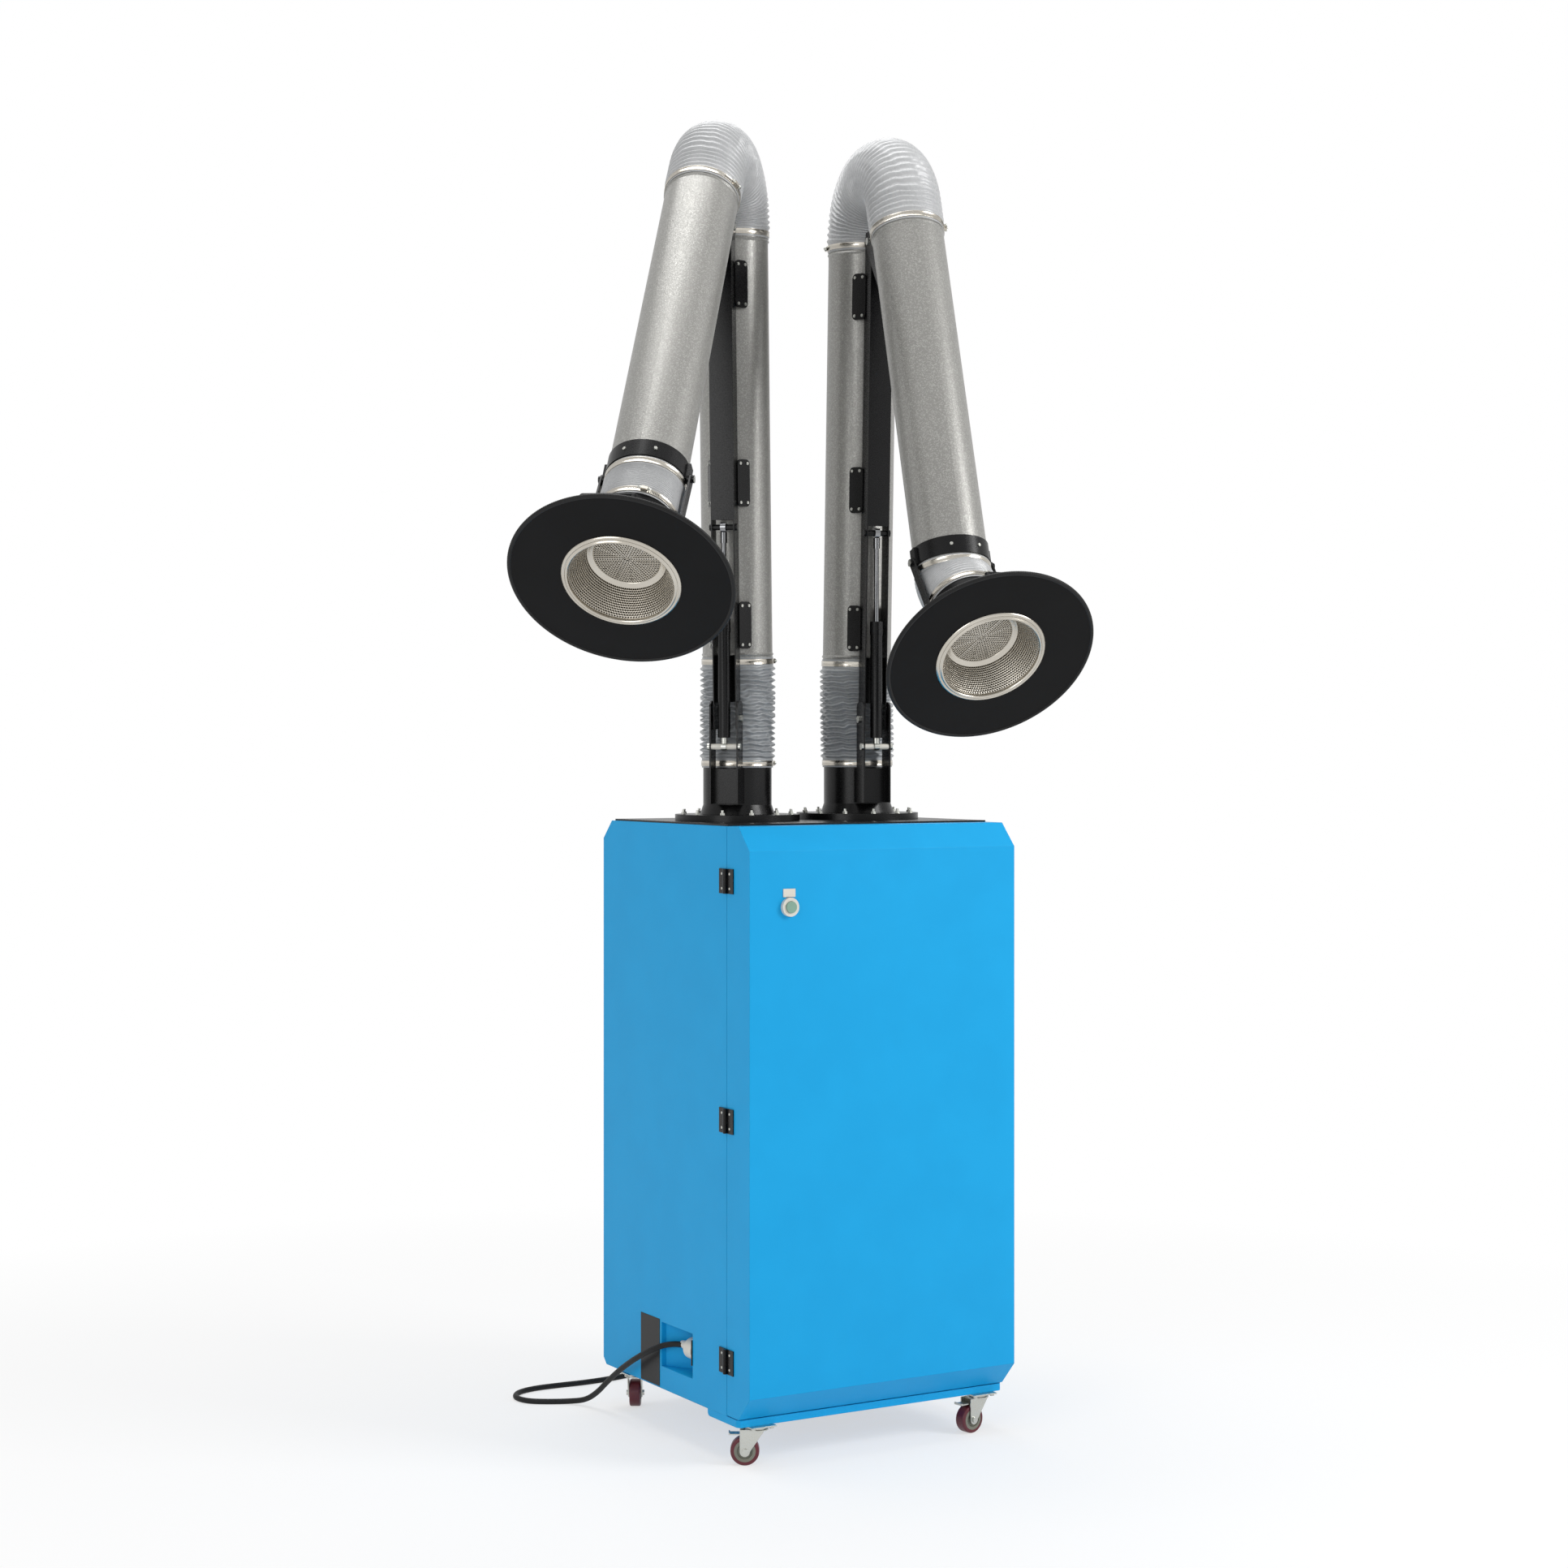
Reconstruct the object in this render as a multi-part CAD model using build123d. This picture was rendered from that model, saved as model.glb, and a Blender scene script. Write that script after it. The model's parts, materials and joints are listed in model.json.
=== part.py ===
from build123d import *
import os
from math import acos, atan2, ceil, cos, degrees, hypot, pi, radians, sin, sqrt, tan

# Mobile welding fume extractor with two extraction arms, on castors.
# Millimetres, +Z up, front of the cabinet towards -Y, its left side towards -X.
# The model is drawn about the middle of the cabinet and the floor, and is moved at the end
# so that its origin lies under the middle of its bounding box.

# Small sizes that many pieces share
sheet = 2.0                    # folded steel sheet of the cabinet and the door
running_gap = 0.3              # between faces that pass each other
pin_clearance = 0.05           # radial, between a pin and its bore
overrun = 5.0                  # how far a cutting tool runs past the face that it cuts
seat_gap = 0.3                 # between a soft or round piece and what it sits on
hose_stop = 2.0                # between a hose's end and the shoulder behind it

# Cabinet
cabinet_width = 692.0
body_depth = 592.0             # side panel, from the door seam to the back
body_height = 1280.0
ground_clearance = 104.0       # floor to the bottom of the body
sill_height = 16.0             # chassis below the body, the castors bolt to its underside
rear_bevel_depth = 43.0
rear_bevel_height = 42.0
rear_foot_bevel = 15.0
front_lip = 26.0               # return flange round the door opening
top_lip = 24.0                 # return flange round the top opening

# Chassis
chassis_wall = 3.0
chassis_inset = 30.0           # set in below the side and rear panels
sill_run_back = 85.0           # how far the full-width front sill runs behind the seam
sill_corner_radius = 12.0
sill_step_radius = 9.0

# Door
door_depth = 100.0             # seam to the front face
door_edge_depth = 52.0         # seam to the start of the bevels, at the top and bottom edges
door_bevel_height = 52.5
door_gap = 1.5                 # between the door's back edge and the body
door_foot_gap = 2.0            # between the door's bottom edge and the sill

# Hinges
hinge_heights = (119.0, 641.0, 1161.0)    # hinge centres above the bottom of the body
hinge_length = 54.0
hinge_leaf_width = 26.0
hinge_leaf_thickness = 2.5
hinge_barrel_radius = 4.5
hinge_pin_radius = 2.0
hinge_standoff = 4.8           # pin axis in front of the side panel
hinge_knuckle_count = 3
hinge_screw_radius = 2.8
hinge_screw_height = 1.2
hinge_screw_inset = 11.0       # screw centres in from the ends of a leaf
hinge_screw_reach = 17.0       # screw centres from the pin axis

# Push button with its label holder
button_from_left = 98.0        # button centre from the left edge of the door
button_above_base = 1107.0
bezel_radius = 20.5
bezel_height = 9.0
bezel_bore_radius = 13.0
bezel_duct_radius = 15.0       # threaded neck through the door sheet
bezel_neck_length = 24.0
cap_radius = 12.6
cap_proud = 3.5
cap_length = 20.0
cap_travel = 2.0
label_width = 30.0
label_height = 18.0
label_thickness = 2.0
label_gap = 1.0                # between the bezel and the label holder

# Door lock
lock_above_base = 641.0
lock_before_seam = 28.0
lock_barrel_radius = 9.0
lock_head_radius = 12.0
lock_head_thickness = 3.0
lock_housing_radius = 12.0
lock_reach = 34.0              # from the door's side face in to the cam
cam_thickness = 4.0
cam_width = 16.0
cam_length = 54.0
cam_slot_centre = 40.0         # from the lock axis to the striker pin
striker_radius = 3.0
striker_slack = 1.0
striker_bracket_thickness = 4.0
striker_bracket_height = 26.0
striker_bracket_depth = 22.0

# Mains inlet recess in the left side
recess_front = 154.0           # front wall of the recess behind the seam
recess_length = 147.0
recess_above_base = 50.0
recess_height = 100.0
recess_depth = 78.0
recess_flat = 30.0             # floor of the recess before it slopes out
recess_rear_depth = 12.0

# Mains inlet and plugs
inlet_flange = 56.0
inlet_flange_thickness = 4.0
inlet_collar_radius = 21.0
inlet_collar_length = 10.0
inlet_bore_radius = 18.0
inlet_from_side = 26.0         # inlet axis behind the side panel
inlet_above_recess = 57.0      # inlet axis above the floor of the recess
plug_nose_radius = 17.5
plug_nose_length = 9.0
plug_body_radius = 24.0
plug_body_length = 34.0
plug_tail_radius = 12.0
plug_tail_length = 12.0
mains_plug_radius = 20.0
mains_plug_length = 48.0
mains_tail_radius = 11.0
mains_tail_length = 18.0
mains_pin_radius = 2.5
mains_pin_length = 19.0
mains_pin_circle = 11.0
mains_pin_count = 5

# Mains cord
cord_radius = 6.5
cord_turn_gap = 1.0            # between neighbouring turns of the coil
coil_outer_radius = 100.0
coil_half_turns = 7            # of the lower layer, spiralling in
coil_centre = (110.0, 720.0)
coil_tail = 92.0               # straight end of the coil, to the mains plug
cord_route = (
    (-320.0, -50.0, 211.0),
    (-343.0, -12.0, 206.0),
    (-365.0, 24.0, 188.0),
    (-372.0, 74.0, 163.0),
    (-373.0, 126.0, 136.0),
    (-372.0, 178.0, 107.0),
    (-371.0, 228.0, 76.0),
    (-373.0, 276.0, 41.0),
    (-380.0, 322.0, 15.0),
    (-404.0, 362.0, 6.5),
    (-450.0, 384.0, 6.5),
    (-490.0, 414.0, 6.5),
    (-500.0, 464.0, 6.5),
    (-470.0, 506.0, 6.5),
    (-418.0, 522.0, 6.5),
    (-358.0, 520.0, 6.5),
    (-296.0, 514.0, 6.5),
    (-232.0, 516.0, 6.5),
    (-168.0, 526.0, 6.5),
    (-106.0, 546.0, 6.5),
    (-50.0, 578.0, 6.5),
    (-8.0, 624.0, 6.5),
)

# Inside the cabinet
partition_behind_seam = 320.0  # upright filter plate behind the seam
partition_height = 860.0       # filter plate above the bottom of the body
partition_thickness = 3.0
cartridge_radius = 140.0
cartridge_length = 250.0
cartridge_spacing = 310.0
cartridge_lower = 330.0        # lower row of cartridges above the bottom of the body
cartridge_cap_thickness = 8.0
cartridge_bore_radius = 80.0
pleat_depth = 34.0
pleat_count = 48
tray_width = 520.0
tray_depth = 270.0
tray_height = 120.0
tray_travel = 85.0             # as far as the closed door leaves free
runner_width = 30.0
tray_handle_width = 120.0
tray_handle_height = 30.0

# Fan and motor, on an axis across the cabinet
fan_behind_seam = 456.0
fan_above_base = 200.0
fan_from_middle = 62.0         # right-hand wall of the fan housing from the middle
housing_width = 112.0
housing_radius = 122.0
spout_height = 110.0
fan_inlet_radius = 78.0
impeller_radius = 106.0
impeller_width = 84.0
impeller_eye_radius = 72.0
impeller_disc_thickness = 3.0
impeller_hub_radius = 24.0
blade_count = 12
blade_thickness = 3.0
blade_length = 32.0
motor_radius = 78.0
motor_length = 190.0
motor_gap = 6.0
motor_shaft_radius = 12.0
motor_foot_width = 120.0
motor_foot_thickness = 10.0
louvre_count = 5
louvre_width = 250.0
louvre_height = 18.0
louvre_pitch = 34.0
louvre_above_base = 150.0

# Top plate and the two turntables
top_plate_thickness = 4.0
top_plate_inset = 6.0
arm_half_spacing = 162.0       # arm swivel axes to each side of the middle
arm_behind_middle = -19.0
turntable_radius = 143.0
turntable_base_thickness = 5.0
turntable_duct_radius = 75.0
retainer_thickness = 4.0
retainer_bore_radius = 90.0
stud_circle_radius = 127.0
stud_count = 12
stud_radius = 3.0
stud_length = 11.0
nut_radius = 6.0
nut_height = 5.0

# Swivel collar of an arm
duct_radius = 80.0             # outside of the ducts that the hoses push over
duct_wall = 1.5
collar_radius = 78.5
collar_wall = 2.5
collar_flange_radius = 98.0
collar_flange_thickness = 5.0
collar_flare_radius = 86.0
collar_flare_height = 22.0
shoulder_out = 108.0           # shoulder pin in front of the swivel axis
shoulder_up = 236.0            # shoulder pin above the top of the body
arm_box_width = 66.0           # across the outside of the shoulder plates
arm_box_base = 44.0            # above the top of the body
arm_box_top = 123.0
ear_thickness = 3.5
ear_back = 88.0
ear_front = 137.0
ear_top = 40.0                 # top of a shoulder plate above the shoulder pin
ear_corner_radius = 16.0
shoulder_pin_radius = 6.0
pin_head_radius = 8.0
pin_head_height = 5.0

# Lower arm
tube_behind_pin = 117.0        # duct axis behind the shoulder pin
lower_tube_start = 116.0       # from the shoulder pin, along the arm
lower_tube_end = 1106.0
lower_bead_low = 142.7
lower_bead_high = 1079.7
bead_width = 8.0
bead_height = 2.5
channel_width = 54.0
channel_sheet = 2.5
channel_back = 24.0            # rear edges of the channel behind the shoulder pin
channel_front = 16.0           # front web of the channel ahead of the shoulder pin
channel_start = 24.0           # below the shoulder pin
channel_top = 1120.0
window_top = 446.0             # the web starts here, above the gas spring
strap_length = 106.0
strap_thickness = 3.0
strap_heights = (210.0, 530.0, 975.0)
strap_lap = 14.0               # near edge of a strap behind the shoulder pin
strap_seat_angle = 35.0        # where its far edge meets the duct, from the arm's front, degrees
strap_corner_radius = 12.0
strap_screw_radius = 3.5
strap_screw_height = 2.0
strap_screw_inset = 9.0

# Gas spring inside the channel
spring_foot = (22.0, -63.0)    # lower pin, ahead of and above the shoulder pin
spring_head = (5.0, 430.0)     # upper pin in the channel
spring_pin_radius = 4.0
spring_head_slack = 3.5        # the upper eye is loose on its pin
spring_eye_radius = 9.0
spring_head_eye_radius = 11.5
spring_eye_width = 12.0
cylinder_radius = 14.0
cylinder_bore_radius = 11.0
cylinder_start = 20.0          # from the lower pin
cylinder_length = 268.0
cylinder_cap_height = 30.0
cylinder_cap_radius = 15.0
rod_radius = 5.5
rod_inside = 130.0             # length of rod and piston inside the cylinder at rest
piston_length = 16.0
piston_clearance = 0.1
ferrule_radius = 7.5
ferrule_length = 24.0
spacer_radius = 6.5

# Elbow
elbow_ahead = 9.1              # elbow pin ahead of the shoulder pin, in the lower arm
elbow_up = 1096.6
elbow_pin_radius = 6.0
elbow_plate_radius = 24.0
elbow_plate_thickness = 4.0

# Upper arm
upper_axis_out = 154.0         # duct axis from the elbow pin
upper_bead = 76.8              # top bead below the elbow pin, along the arm
upper_spigot = 26.0            # duct above the top bead
upper_length = 757.7           # top bead to the wrist band
upper_tail = 54.0              # duct below the start of the wrist band
bracket_width = 44.0
bracket_sheet = 3.0
bracket_length = 230.0
bracket_depth = 30.0
bracket_screw_spacing = 150.0

# Wrist
band_height = 40.0
band_thickness = 3.0
band_lug_radius = 11.0
wrist_lug_inner = 85.5         # from the duct axis to the inner face of a lug
wrist_lug_thickness = 4.0
wrist_pin_below = 35.0         # upper wrist pins below the start of the band
wrist_pin_radius = 4.0
bar_length = 135.0
bar_width = 21.0
bar_thickness = 4.0
band_screw_radius = 3.5
band_screw_height = 2.5

# Hood
hood_radius = 224.0
hood_reach = 153.0             # lower wrist pins to the face of the hood
hood_sheet = 3.0
neck_wall = 2.0
neck_below_pin = 52.0
hood_throat_radius = 126.0
hood_lip_radius = 118.0
rim_radius = 4.0
lug_pad_height = 36.0
basket_mouth_radius = 108.0
basket_end_radius = 77.0
basket_depth = 64.0
basket_wall = 1.5
basket_lip_radius = 128.0
basket_lip_height = 7.0
handle_centre_radius = 178.0
handle_length = 100.0
handle_height = 44.0
handle_bar_radius = 7.0
handle_foot_radius = 11.0
handle_foot_height = 3.0

# Hoses: wire-ribbed flexible duct
hose_wall = 1.2
hose_bore_gap = 0.3
hose_rib_height = 2.6
hose_cuff = 20.0               # plain straight end of a hose
lower_hose_ribs = 21
elbow_hose_ribs = 42
hood_hose_ribs = 12

# Castors
castor_x = 290.0               # swivel axes to each side of the middle
castor_front = 332.0           # front swivel axes ahead of the middle
castor_rear = 245.0
castor_trail = 27.0
castor_plate = 62.0
castor_plate_thickness = 3.0
castor_plate_bolt = 23.0
castor_bolt_radius = 5.0
castor_bolt_height = 4.0
race_radius = 20.0
race_height = 6.0
kingpin_radius = 5.0
kingpin_nut_radius = 8.5
kingpin_nut_height = 4.0
fork_top_radius = 24.0
fork_sheet = 2.5
fork_gap = 29.0                # between the inner faces of the fork's cheeks
fork_cheek_radius = 11.0
wheel_radius = 31.5
wheel_width = 26.0
tyre_thickness = 8.0
axle_radius = 4.0
axle_head_radius = 6.5
axle_head_height = 4.0
hub_groove_radius = 17.0
hub_groove_depth = 3.0
hub_boss_radius = 9.0
pedal_pivot_out = 4.0
pedal_pivot_up = 66.5          # pedal pin above the floor
pedal_width = 24.0
pedal_reach = 58.0
pedal_thickness = 2.5
pedal_pin_radius = 2.0
pedal_eye_radius = 3.6

# How the object stands at rest, in degrees
arm_pose = {
    "left": {"swivel": 227.24, "lean": 2.89, "droop": 35.09, "turn": 1.0, "bars": 6.0, "hood": 1.2},
    "right": {"swivel": 257.61, "lean": 2.52, "droop": 19.43, "turn": 3.0, "bars": 22.5, "hood": 5.6},
}
castor_headings = {
    "front_left": 149.5,
    "front_right": 189.0,
    "rear_left": 59.0,
    "rear_right": 172.0,
}

# Places that follow from the sizes
left_x = -cabinet_width / 2
right_x = cabinet_width / 2
front_y = -body_depth / 2
rear_y = body_depth / 2
base_z = ground_clearance
top_z = base_z + body_height
floor_inside_z = base_z + sheet
chassis_z = base_z - sill_height
door_back_y = front_y - door_gap
door_face_y = front_y - door_depth
plate_top_z = top_z + top_plate_thickness
shoulder_z = top_z + shoulder_up
hinge_axis = (left_x - hinge_standoff, front_y - door_gap / 2)
lock_axis = (front_y - lock_before_seam, base_z + lock_above_base)
fan_axis = (front_y + fan_behind_seam, base_z + fan_above_base)
button_axis = (left_x + button_from_left, base_z + button_above_base)
partition_y = front_y + partition_behind_seam
tray_floor_z = base_z + front_lip + 2 * running_gap
coil_pitch = 2 * cord_radius + cord_turn_gap
hose_inner_radius = duct_radius + hose_bore_gap
hose_valley_radius = hose_inner_radius + hose_wall
neck_above_pin = band_lug_radius + hose_stop + hose_cuff
collar_top_z = top_z + arm_box_top + hose_stop + hose_cuff

parts = {}


def block(x_range, y_range, z_range):
    """A box between two values on each axis."""
    sizes = [high - low for low, high in (x_range, y_range, z_range)]
    middle = [(high + low) / 2 for low, high in (x_range, y_range, z_range)]
    return Pos(*middle) * Box(*sizes)


def prism(corners, run):
    """The flat outline through the corners, extruded by the vector run."""
    outline = make_face(Polyline(*corners, close=True))
    return extrude(outline, amount=Vector(*run).length, dir=Vector(*run).normalized())


def bar_between(start, end, radius):
    """A round bar from one point to another."""
    run = Vector(*end) - Vector(*start)
    standing = (Align.CENTER, Align.CENTER, Align.MIN)
    return Plane(origin=start, z_dir=run) * Cylinder(radius, run.length, align=standing)


def upright(radius, low, high):
    """A round bar about the Z axis."""
    return bar_between((0, 0, low), (0, 0, high), radius)


def pipe(outer, inner, low, high):
    """A straight pipe about the Z axis."""
    return upright(outer, low, high) - upright(inner, low - overrun, high + overrun)


def cone_between(low_radius, high_radius, low, high):
    """A cone about the Z axis, from one height to another."""
    standing = (Align.CENTER, Align.CENTER, Align.MIN)
    return Pos(0, 0, low) * Cone(low_radius, high_radius, high - low, align=standing)


def crossbar(x, z, half, radius):
    """A round bar along Y, about the point x, z, reaching half each way."""
    return bar_between((x, -half, z), (x, half, z), radius)


def group(*shapes):
    """Separate solids kept together in one node."""
    return Compound([solid for shape in shapes for solid in shape.solids()])


def mirrored(shape):
    """The shape and its mirror image across the plane y = 0."""
    return [shape, mirror(shape, about=Plane.XZ)]


def ribbed_hose(path, side_axis, ribs):
    """A hollow wire-ribbed hose along a path, with plain straight cuffs at both ends."""
    length = path.length

    def across_path(distance, outline):
        """An outline laid square across the path, its X axis held steady."""
        share = distance / length
        return (Plane(origin=path @ share, x_dir=side_axis, z_dir=path % share) * outline).face()

    rib_run = (length - 2 * hose_cuff) / ribs
    rib_shares = ((0.0, 0.0), (0.3, 1.0), (0.5, 1.0), (0.8, 0.0))
    outer = [(0, hose_valley_radius)]
    for rib in range(ribs):
        for along_share, height_share in rib_shares:
            distance = hose_cuff + (rib + along_share) * rib_run
            outer.append((distance, hose_valley_radius + height_share * hose_rib_height))
    outer.append((length - hose_cuff, hose_valley_radius))
    outer.append((length, hose_valley_radius))
    inner = [(length * step / ribs, hose_inner_radius) for step in range(ribs + 1)]
    faces = []
    for stations in (outer, inner):
        rings = [across_path(distance, Circle(radius)) for distance, radius in stations]
        skin = loft(rings, ruled=True)
        faces += [face for face in skin.faces() if face.geom_type != GeomType.PLANE]
    ring_face = Circle(hose_valley_radius) - Circle(hose_inner_radius)
    faces += [across_path(distance, ring_face) for distance in (0, length)]
    return Solid(Shell(faces))


def cabinet_shell():
    """The blue body: sides, back and floor in one folded sheet, open at the front and the top."""
    profile_shares = (
        (front_y, base_z),
        (rear_y - rear_foot_bevel, base_z),
        (rear_y, base_z + rear_foot_bevel),
        (rear_y, top_z - rear_bevel_height),
        (rear_y - rear_bevel_depth, top_z),
        (front_y, top_z),
    )
    outer = prism([(left_x, y, z) for y, z in profile_shares], (cabinet_width, 0, 0))
    outline = make_face(Polyline(*[(left_x + sheet, y, z) for y, z in profile_shares], close=True))
    inner = extrude(offset(outline, amount=-sheet), amount=cabinet_width - 2 * sheet, dir=(1, 0, 0))
    shell = outer - inner
    shell -= block(
        (left_x + front_lip, right_x - front_lip),
        (front_y - overrun, front_y + sheet + overrun),
        (base_z + front_lip, top_z - front_lip),
    )
    shell -= block(
        (left_x + top_lip, right_x - top_lip),
        (front_y + top_lip, rear_y - rear_bevel_depth - top_lip),
        (top_z - sheet - overrun, top_z + overrun),
    )
    for step in range(louvre_count):
        slot_z = base_z + louvre_above_base + step * louvre_pitch
        slot_x = fan_from_middle - housing_width / 2
        shell -= block(
            (slot_x - louvre_width / 2, slot_x + louvre_width / 2),
            (rear_y - sheet - overrun, rear_y + overrun),
            (slot_z, slot_z + louvre_height),
        )
    pocket_low = base_z + recess_above_base
    pocket_front = front_y + recess_front
    pocket_rear = pocket_front + recess_length
    hollow = (
        (left_x - overrun, pocket_front),
        (left_x + recess_depth, pocket_front),
        (left_x + recess_depth, pocket_front + recess_flat),
        (left_x + recess_rear_depth, pocket_rear),
        (left_x - overrun, pocket_rear),
    )
    wall = (
        (left_x, pocket_front - sheet),
        (left_x + recess_depth + sheet, pocket_front - sheet),
        (left_x + recess_depth + sheet, pocket_front + recess_flat + sheet),
        (left_x + recess_rear_depth + sheet, pocket_rear + sheet),
        (left_x, pocket_rear + sheet),
    )
    shell += prism([(x, y, pocket_low - sheet) for x, y in wall], (0, 0, recess_height + 2 * sheet))
    shell -= prism([(x, y, pocket_low) for x, y in hollow], (0, 0, recess_height))
    return shell


def lock_striker():
    """The bracket on the lip of the door opening, with the pin that the lock's cam turns round."""
    lip_x = right_x - front_lip
    y, z = lock_axis
    striker = block(
        (lip_x - striker_bracket_thickness, lip_x),
        (front_y, front_y + striker_bracket_depth),
        (z - striker_bracket_height / 2, z + striker_bracket_height / 2),
    )
    pin_start = lip_x - striker_bracket_thickness / 2
    pin_end = right_x - lock_reach - cam_thickness - striker_slack
    pin_y = y + cam_slot_centre
    return striker + bar_between((pin_start, pin_y, z), (pin_end, pin_y, z), striker_radius)


def base_frame():
    """The chassis under the body: a full-width front sill and a tray set in behind it."""
    sill = block(
        (left_x, right_x),
        (front_y - door_edge_depth, front_y + sill_run_back),
        (chassis_z, base_z),
    )
    front_corners = sill.edges().filter_by(Axis.Z).group_by(Axis.Y)[0]
    sill = fillet(front_corners, sill_corner_radius)
    step_edge = sill.faces().sort_by(Axis.Y)[-1].edges().sort_by(Axis.Z)[0]
    sill = fillet(step_edge, sill_step_radius)
    tray = block(
        (left_x + chassis_inset, right_x - chassis_inset),
        (front_y + sill_run_back - sill_corner_radius, rear_y - chassis_inset),
        (chassis_z, base_z),
    )
    frame = sill + tray
    frame -= block(
        (left_x + chassis_inset + chassis_wall, right_x - chassis_inset - chassis_wall),
        (front_y - door_edge_depth + sill_corner_radius, rear_y - chassis_inset - chassis_wall),
        (chassis_z + chassis_wall, base_z + overrun),
    )
    return frame


def door_panel():
    """The deep blue door pan, bevelled at the top and bottom and open at its back."""
    low = base_z + door_foot_gap
    outline = (
        (door_back_y, low),
        (front_y - door_edge_depth, low),
        (door_face_y, low + door_bevel_height),
        (door_face_y, top_z - door_bevel_height),
        (front_y - door_edge_depth, top_z),
        (door_back_y, top_z),
    )
    outer = prism([(left_x, y, z) for y, z in outline], (cabinet_width, 0, 0))
    face = make_face(Polyline(*[(left_x + sheet, y, z) for y, z in outline], close=True))
    inner = extrude(offset(face, amount=-sheet), amount=cabinet_width - 2 * sheet, dir=(1, 0, 0))
    opening = block(
        (left_x + sheet, right_x - sheet),
        (door_back_y - sheet - overrun, door_back_y + overrun),
        (low + sheet, top_z - sheet),
    )
    panel = outer - inner - opening
    button_x, button_z = button_axis
    panel -= bar_between(
        (button_x, door_face_y - overrun, button_z),
        (button_x, door_face_y + sheet + overrun, button_z),
        bezel_duct_radius + pin_clearance,
    )
    lock_y, lock_z = lock_axis
    panel -= bar_between(
        (right_x - sheet - overrun, lock_y, lock_z),
        (right_x + overrun, lock_y, lock_z),
        lock_housing_radius,
    )
    return panel


def hinge_pieces():
    """The frame leaves with their pins, and the door leaves, of the three hinges."""
    pin_x, pin_y = hinge_axis
    frame_leaves = []
    door_leaves = []
    knuckle = hinge_length / hinge_knuckle_count
    for height in hinge_heights:
        low = base_z + height - hinge_length / 2
        high = low + hinge_length
        for side, pieces in ((1, frame_leaves), (-1, door_leaves)):
            near = pin_y + side * (hinge_barrel_radius + running_gap)
            far = near + side * hinge_leaf_width
            leaf = block(
                (left_x - hinge_leaf_thickness, left_x),
                tuple(sorted((near, far))),
                (low, high),
            )
            web = block(
                (left_x - hinge_leaf_thickness, left_x - running_gap),
                tuple(sorted((pin_y, near))),
                (low, high),
            )
            barrel = Pos(pin_x, pin_y, 0) * upright(hinge_barrel_radius, low, high)
            leaf += web + barrel
            other = []
            for step in range(hinge_knuckle_count):
                mine = (step % 2 == 0) == (side > 0)
                if not mine:
                    other.append(step)
            for step in other:
                start = low + step * knuckle
                cut = block(
                    (pin_x - hinge_barrel_radius - overrun, left_x + overrun),
                    tuple(sorted((pin_y - side * (hinge_barrel_radius + overrun), near))),
                    (start - running_gap / 2, start + knuckle + running_gap / 2),
                )
                leaf -= cut
            bore = hinge_pin_radius + pin_clearance
            leaf -= Pos(pin_x, pin_y, 0) * upright(bore, low - overrun, high + overrun)
            pieces.append(leaf)
            for screw_z in (low + hinge_screw_inset, high - hinge_screw_inset):
                screw_y = pin_y + side * hinge_screw_reach
                pieces.append(
                    bar_between(
                        (left_x - hinge_leaf_thickness, screw_y, screw_z),
                        (left_x - hinge_leaf_thickness - hinge_screw_height, screw_y, screw_z),
                        hinge_screw_radius,
                    )
                )
        frame_leaves.append(Pos(pin_x, pin_y, 0) * upright(hinge_pin_radius, low, high))
    return group(*frame_leaves), door_leaves


def button_pieces():
    """The button's bezel and label holder, and the cap that travels in it."""
    x, z = button_axis
    front = door_face_y - bezel_height
    bezel = bar_between((x, door_face_y, z), (x, front, z), bezel_radius)
    bezel += bar_between((x, door_face_y, z), (x, door_face_y + bezel_neck_length, z), bezel_duct_radius)
    bezel -= bar_between(
        (x, front - overrun, z),
        (x, door_face_y + bezel_neck_length - sheet, z),
        bezel_bore_radius,
    )
    label_low = z + bezel_radius + label_gap
    label = block(
        (x - label_width / 2, x + label_width / 2),
        (door_face_y - label_thickness, door_face_y),
        (label_low, label_low + label_height),
    )
    cap = bar_between((x, front - cap_proud, z), (x, front - cap_proud + cap_length, z), cap_radius)
    return bezel, label, cap


def door_lock():
    """The key lock on the door's right side, its cam turned up out of the striker's way."""
    y, z = lock_axis
    inner_x = right_x - lock_reach
    lock = bar_between((right_x, y, z), (inner_x, y, z), lock_barrel_radius)
    lock += bar_between((right_x, y, z), (right_x + lock_head_thickness, y, z), lock_head_radius)
    cam = block(
        (inner_x - cam_thickness, inner_x),
        (y - cam_width / 2, y + cam_width / 2),
        (z - cam_width / 2, z + cam_length),
    )
    slot_half = striker_radius + striker_slack
    slot_z = z + cam_slot_centre
    cam -= block(
        (inner_x - cam_thickness - overrun, inner_x + overrun),
        (y - slot_half, y + cam_width),
        (slot_z - slot_half, slot_z + slot_half),
    )
    keyway = block(
        (right_x + lock_head_thickness / 2, right_x + lock_head_thickness + overrun),
        (y - sheet / 2, y + sheet / 2),
        (z - lock_barrel_radius / 2, z + lock_barrel_radius / 2),
    )
    return lock + cam - keyway


def lock_housing():
    """The fixed sleeve that the lock's barrel turns in."""
    y, z = lock_axis
    start = right_x
    end = right_x - lock_reach + running_gap
    sleeve = bar_between((start, y, z), (end, y, z), lock_housing_radius)
    bore = lock_barrel_radius + pin_clearance
    return sleeve - bar_between((start + overrun, y, z), (end - overrun, y, z), bore)


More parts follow.
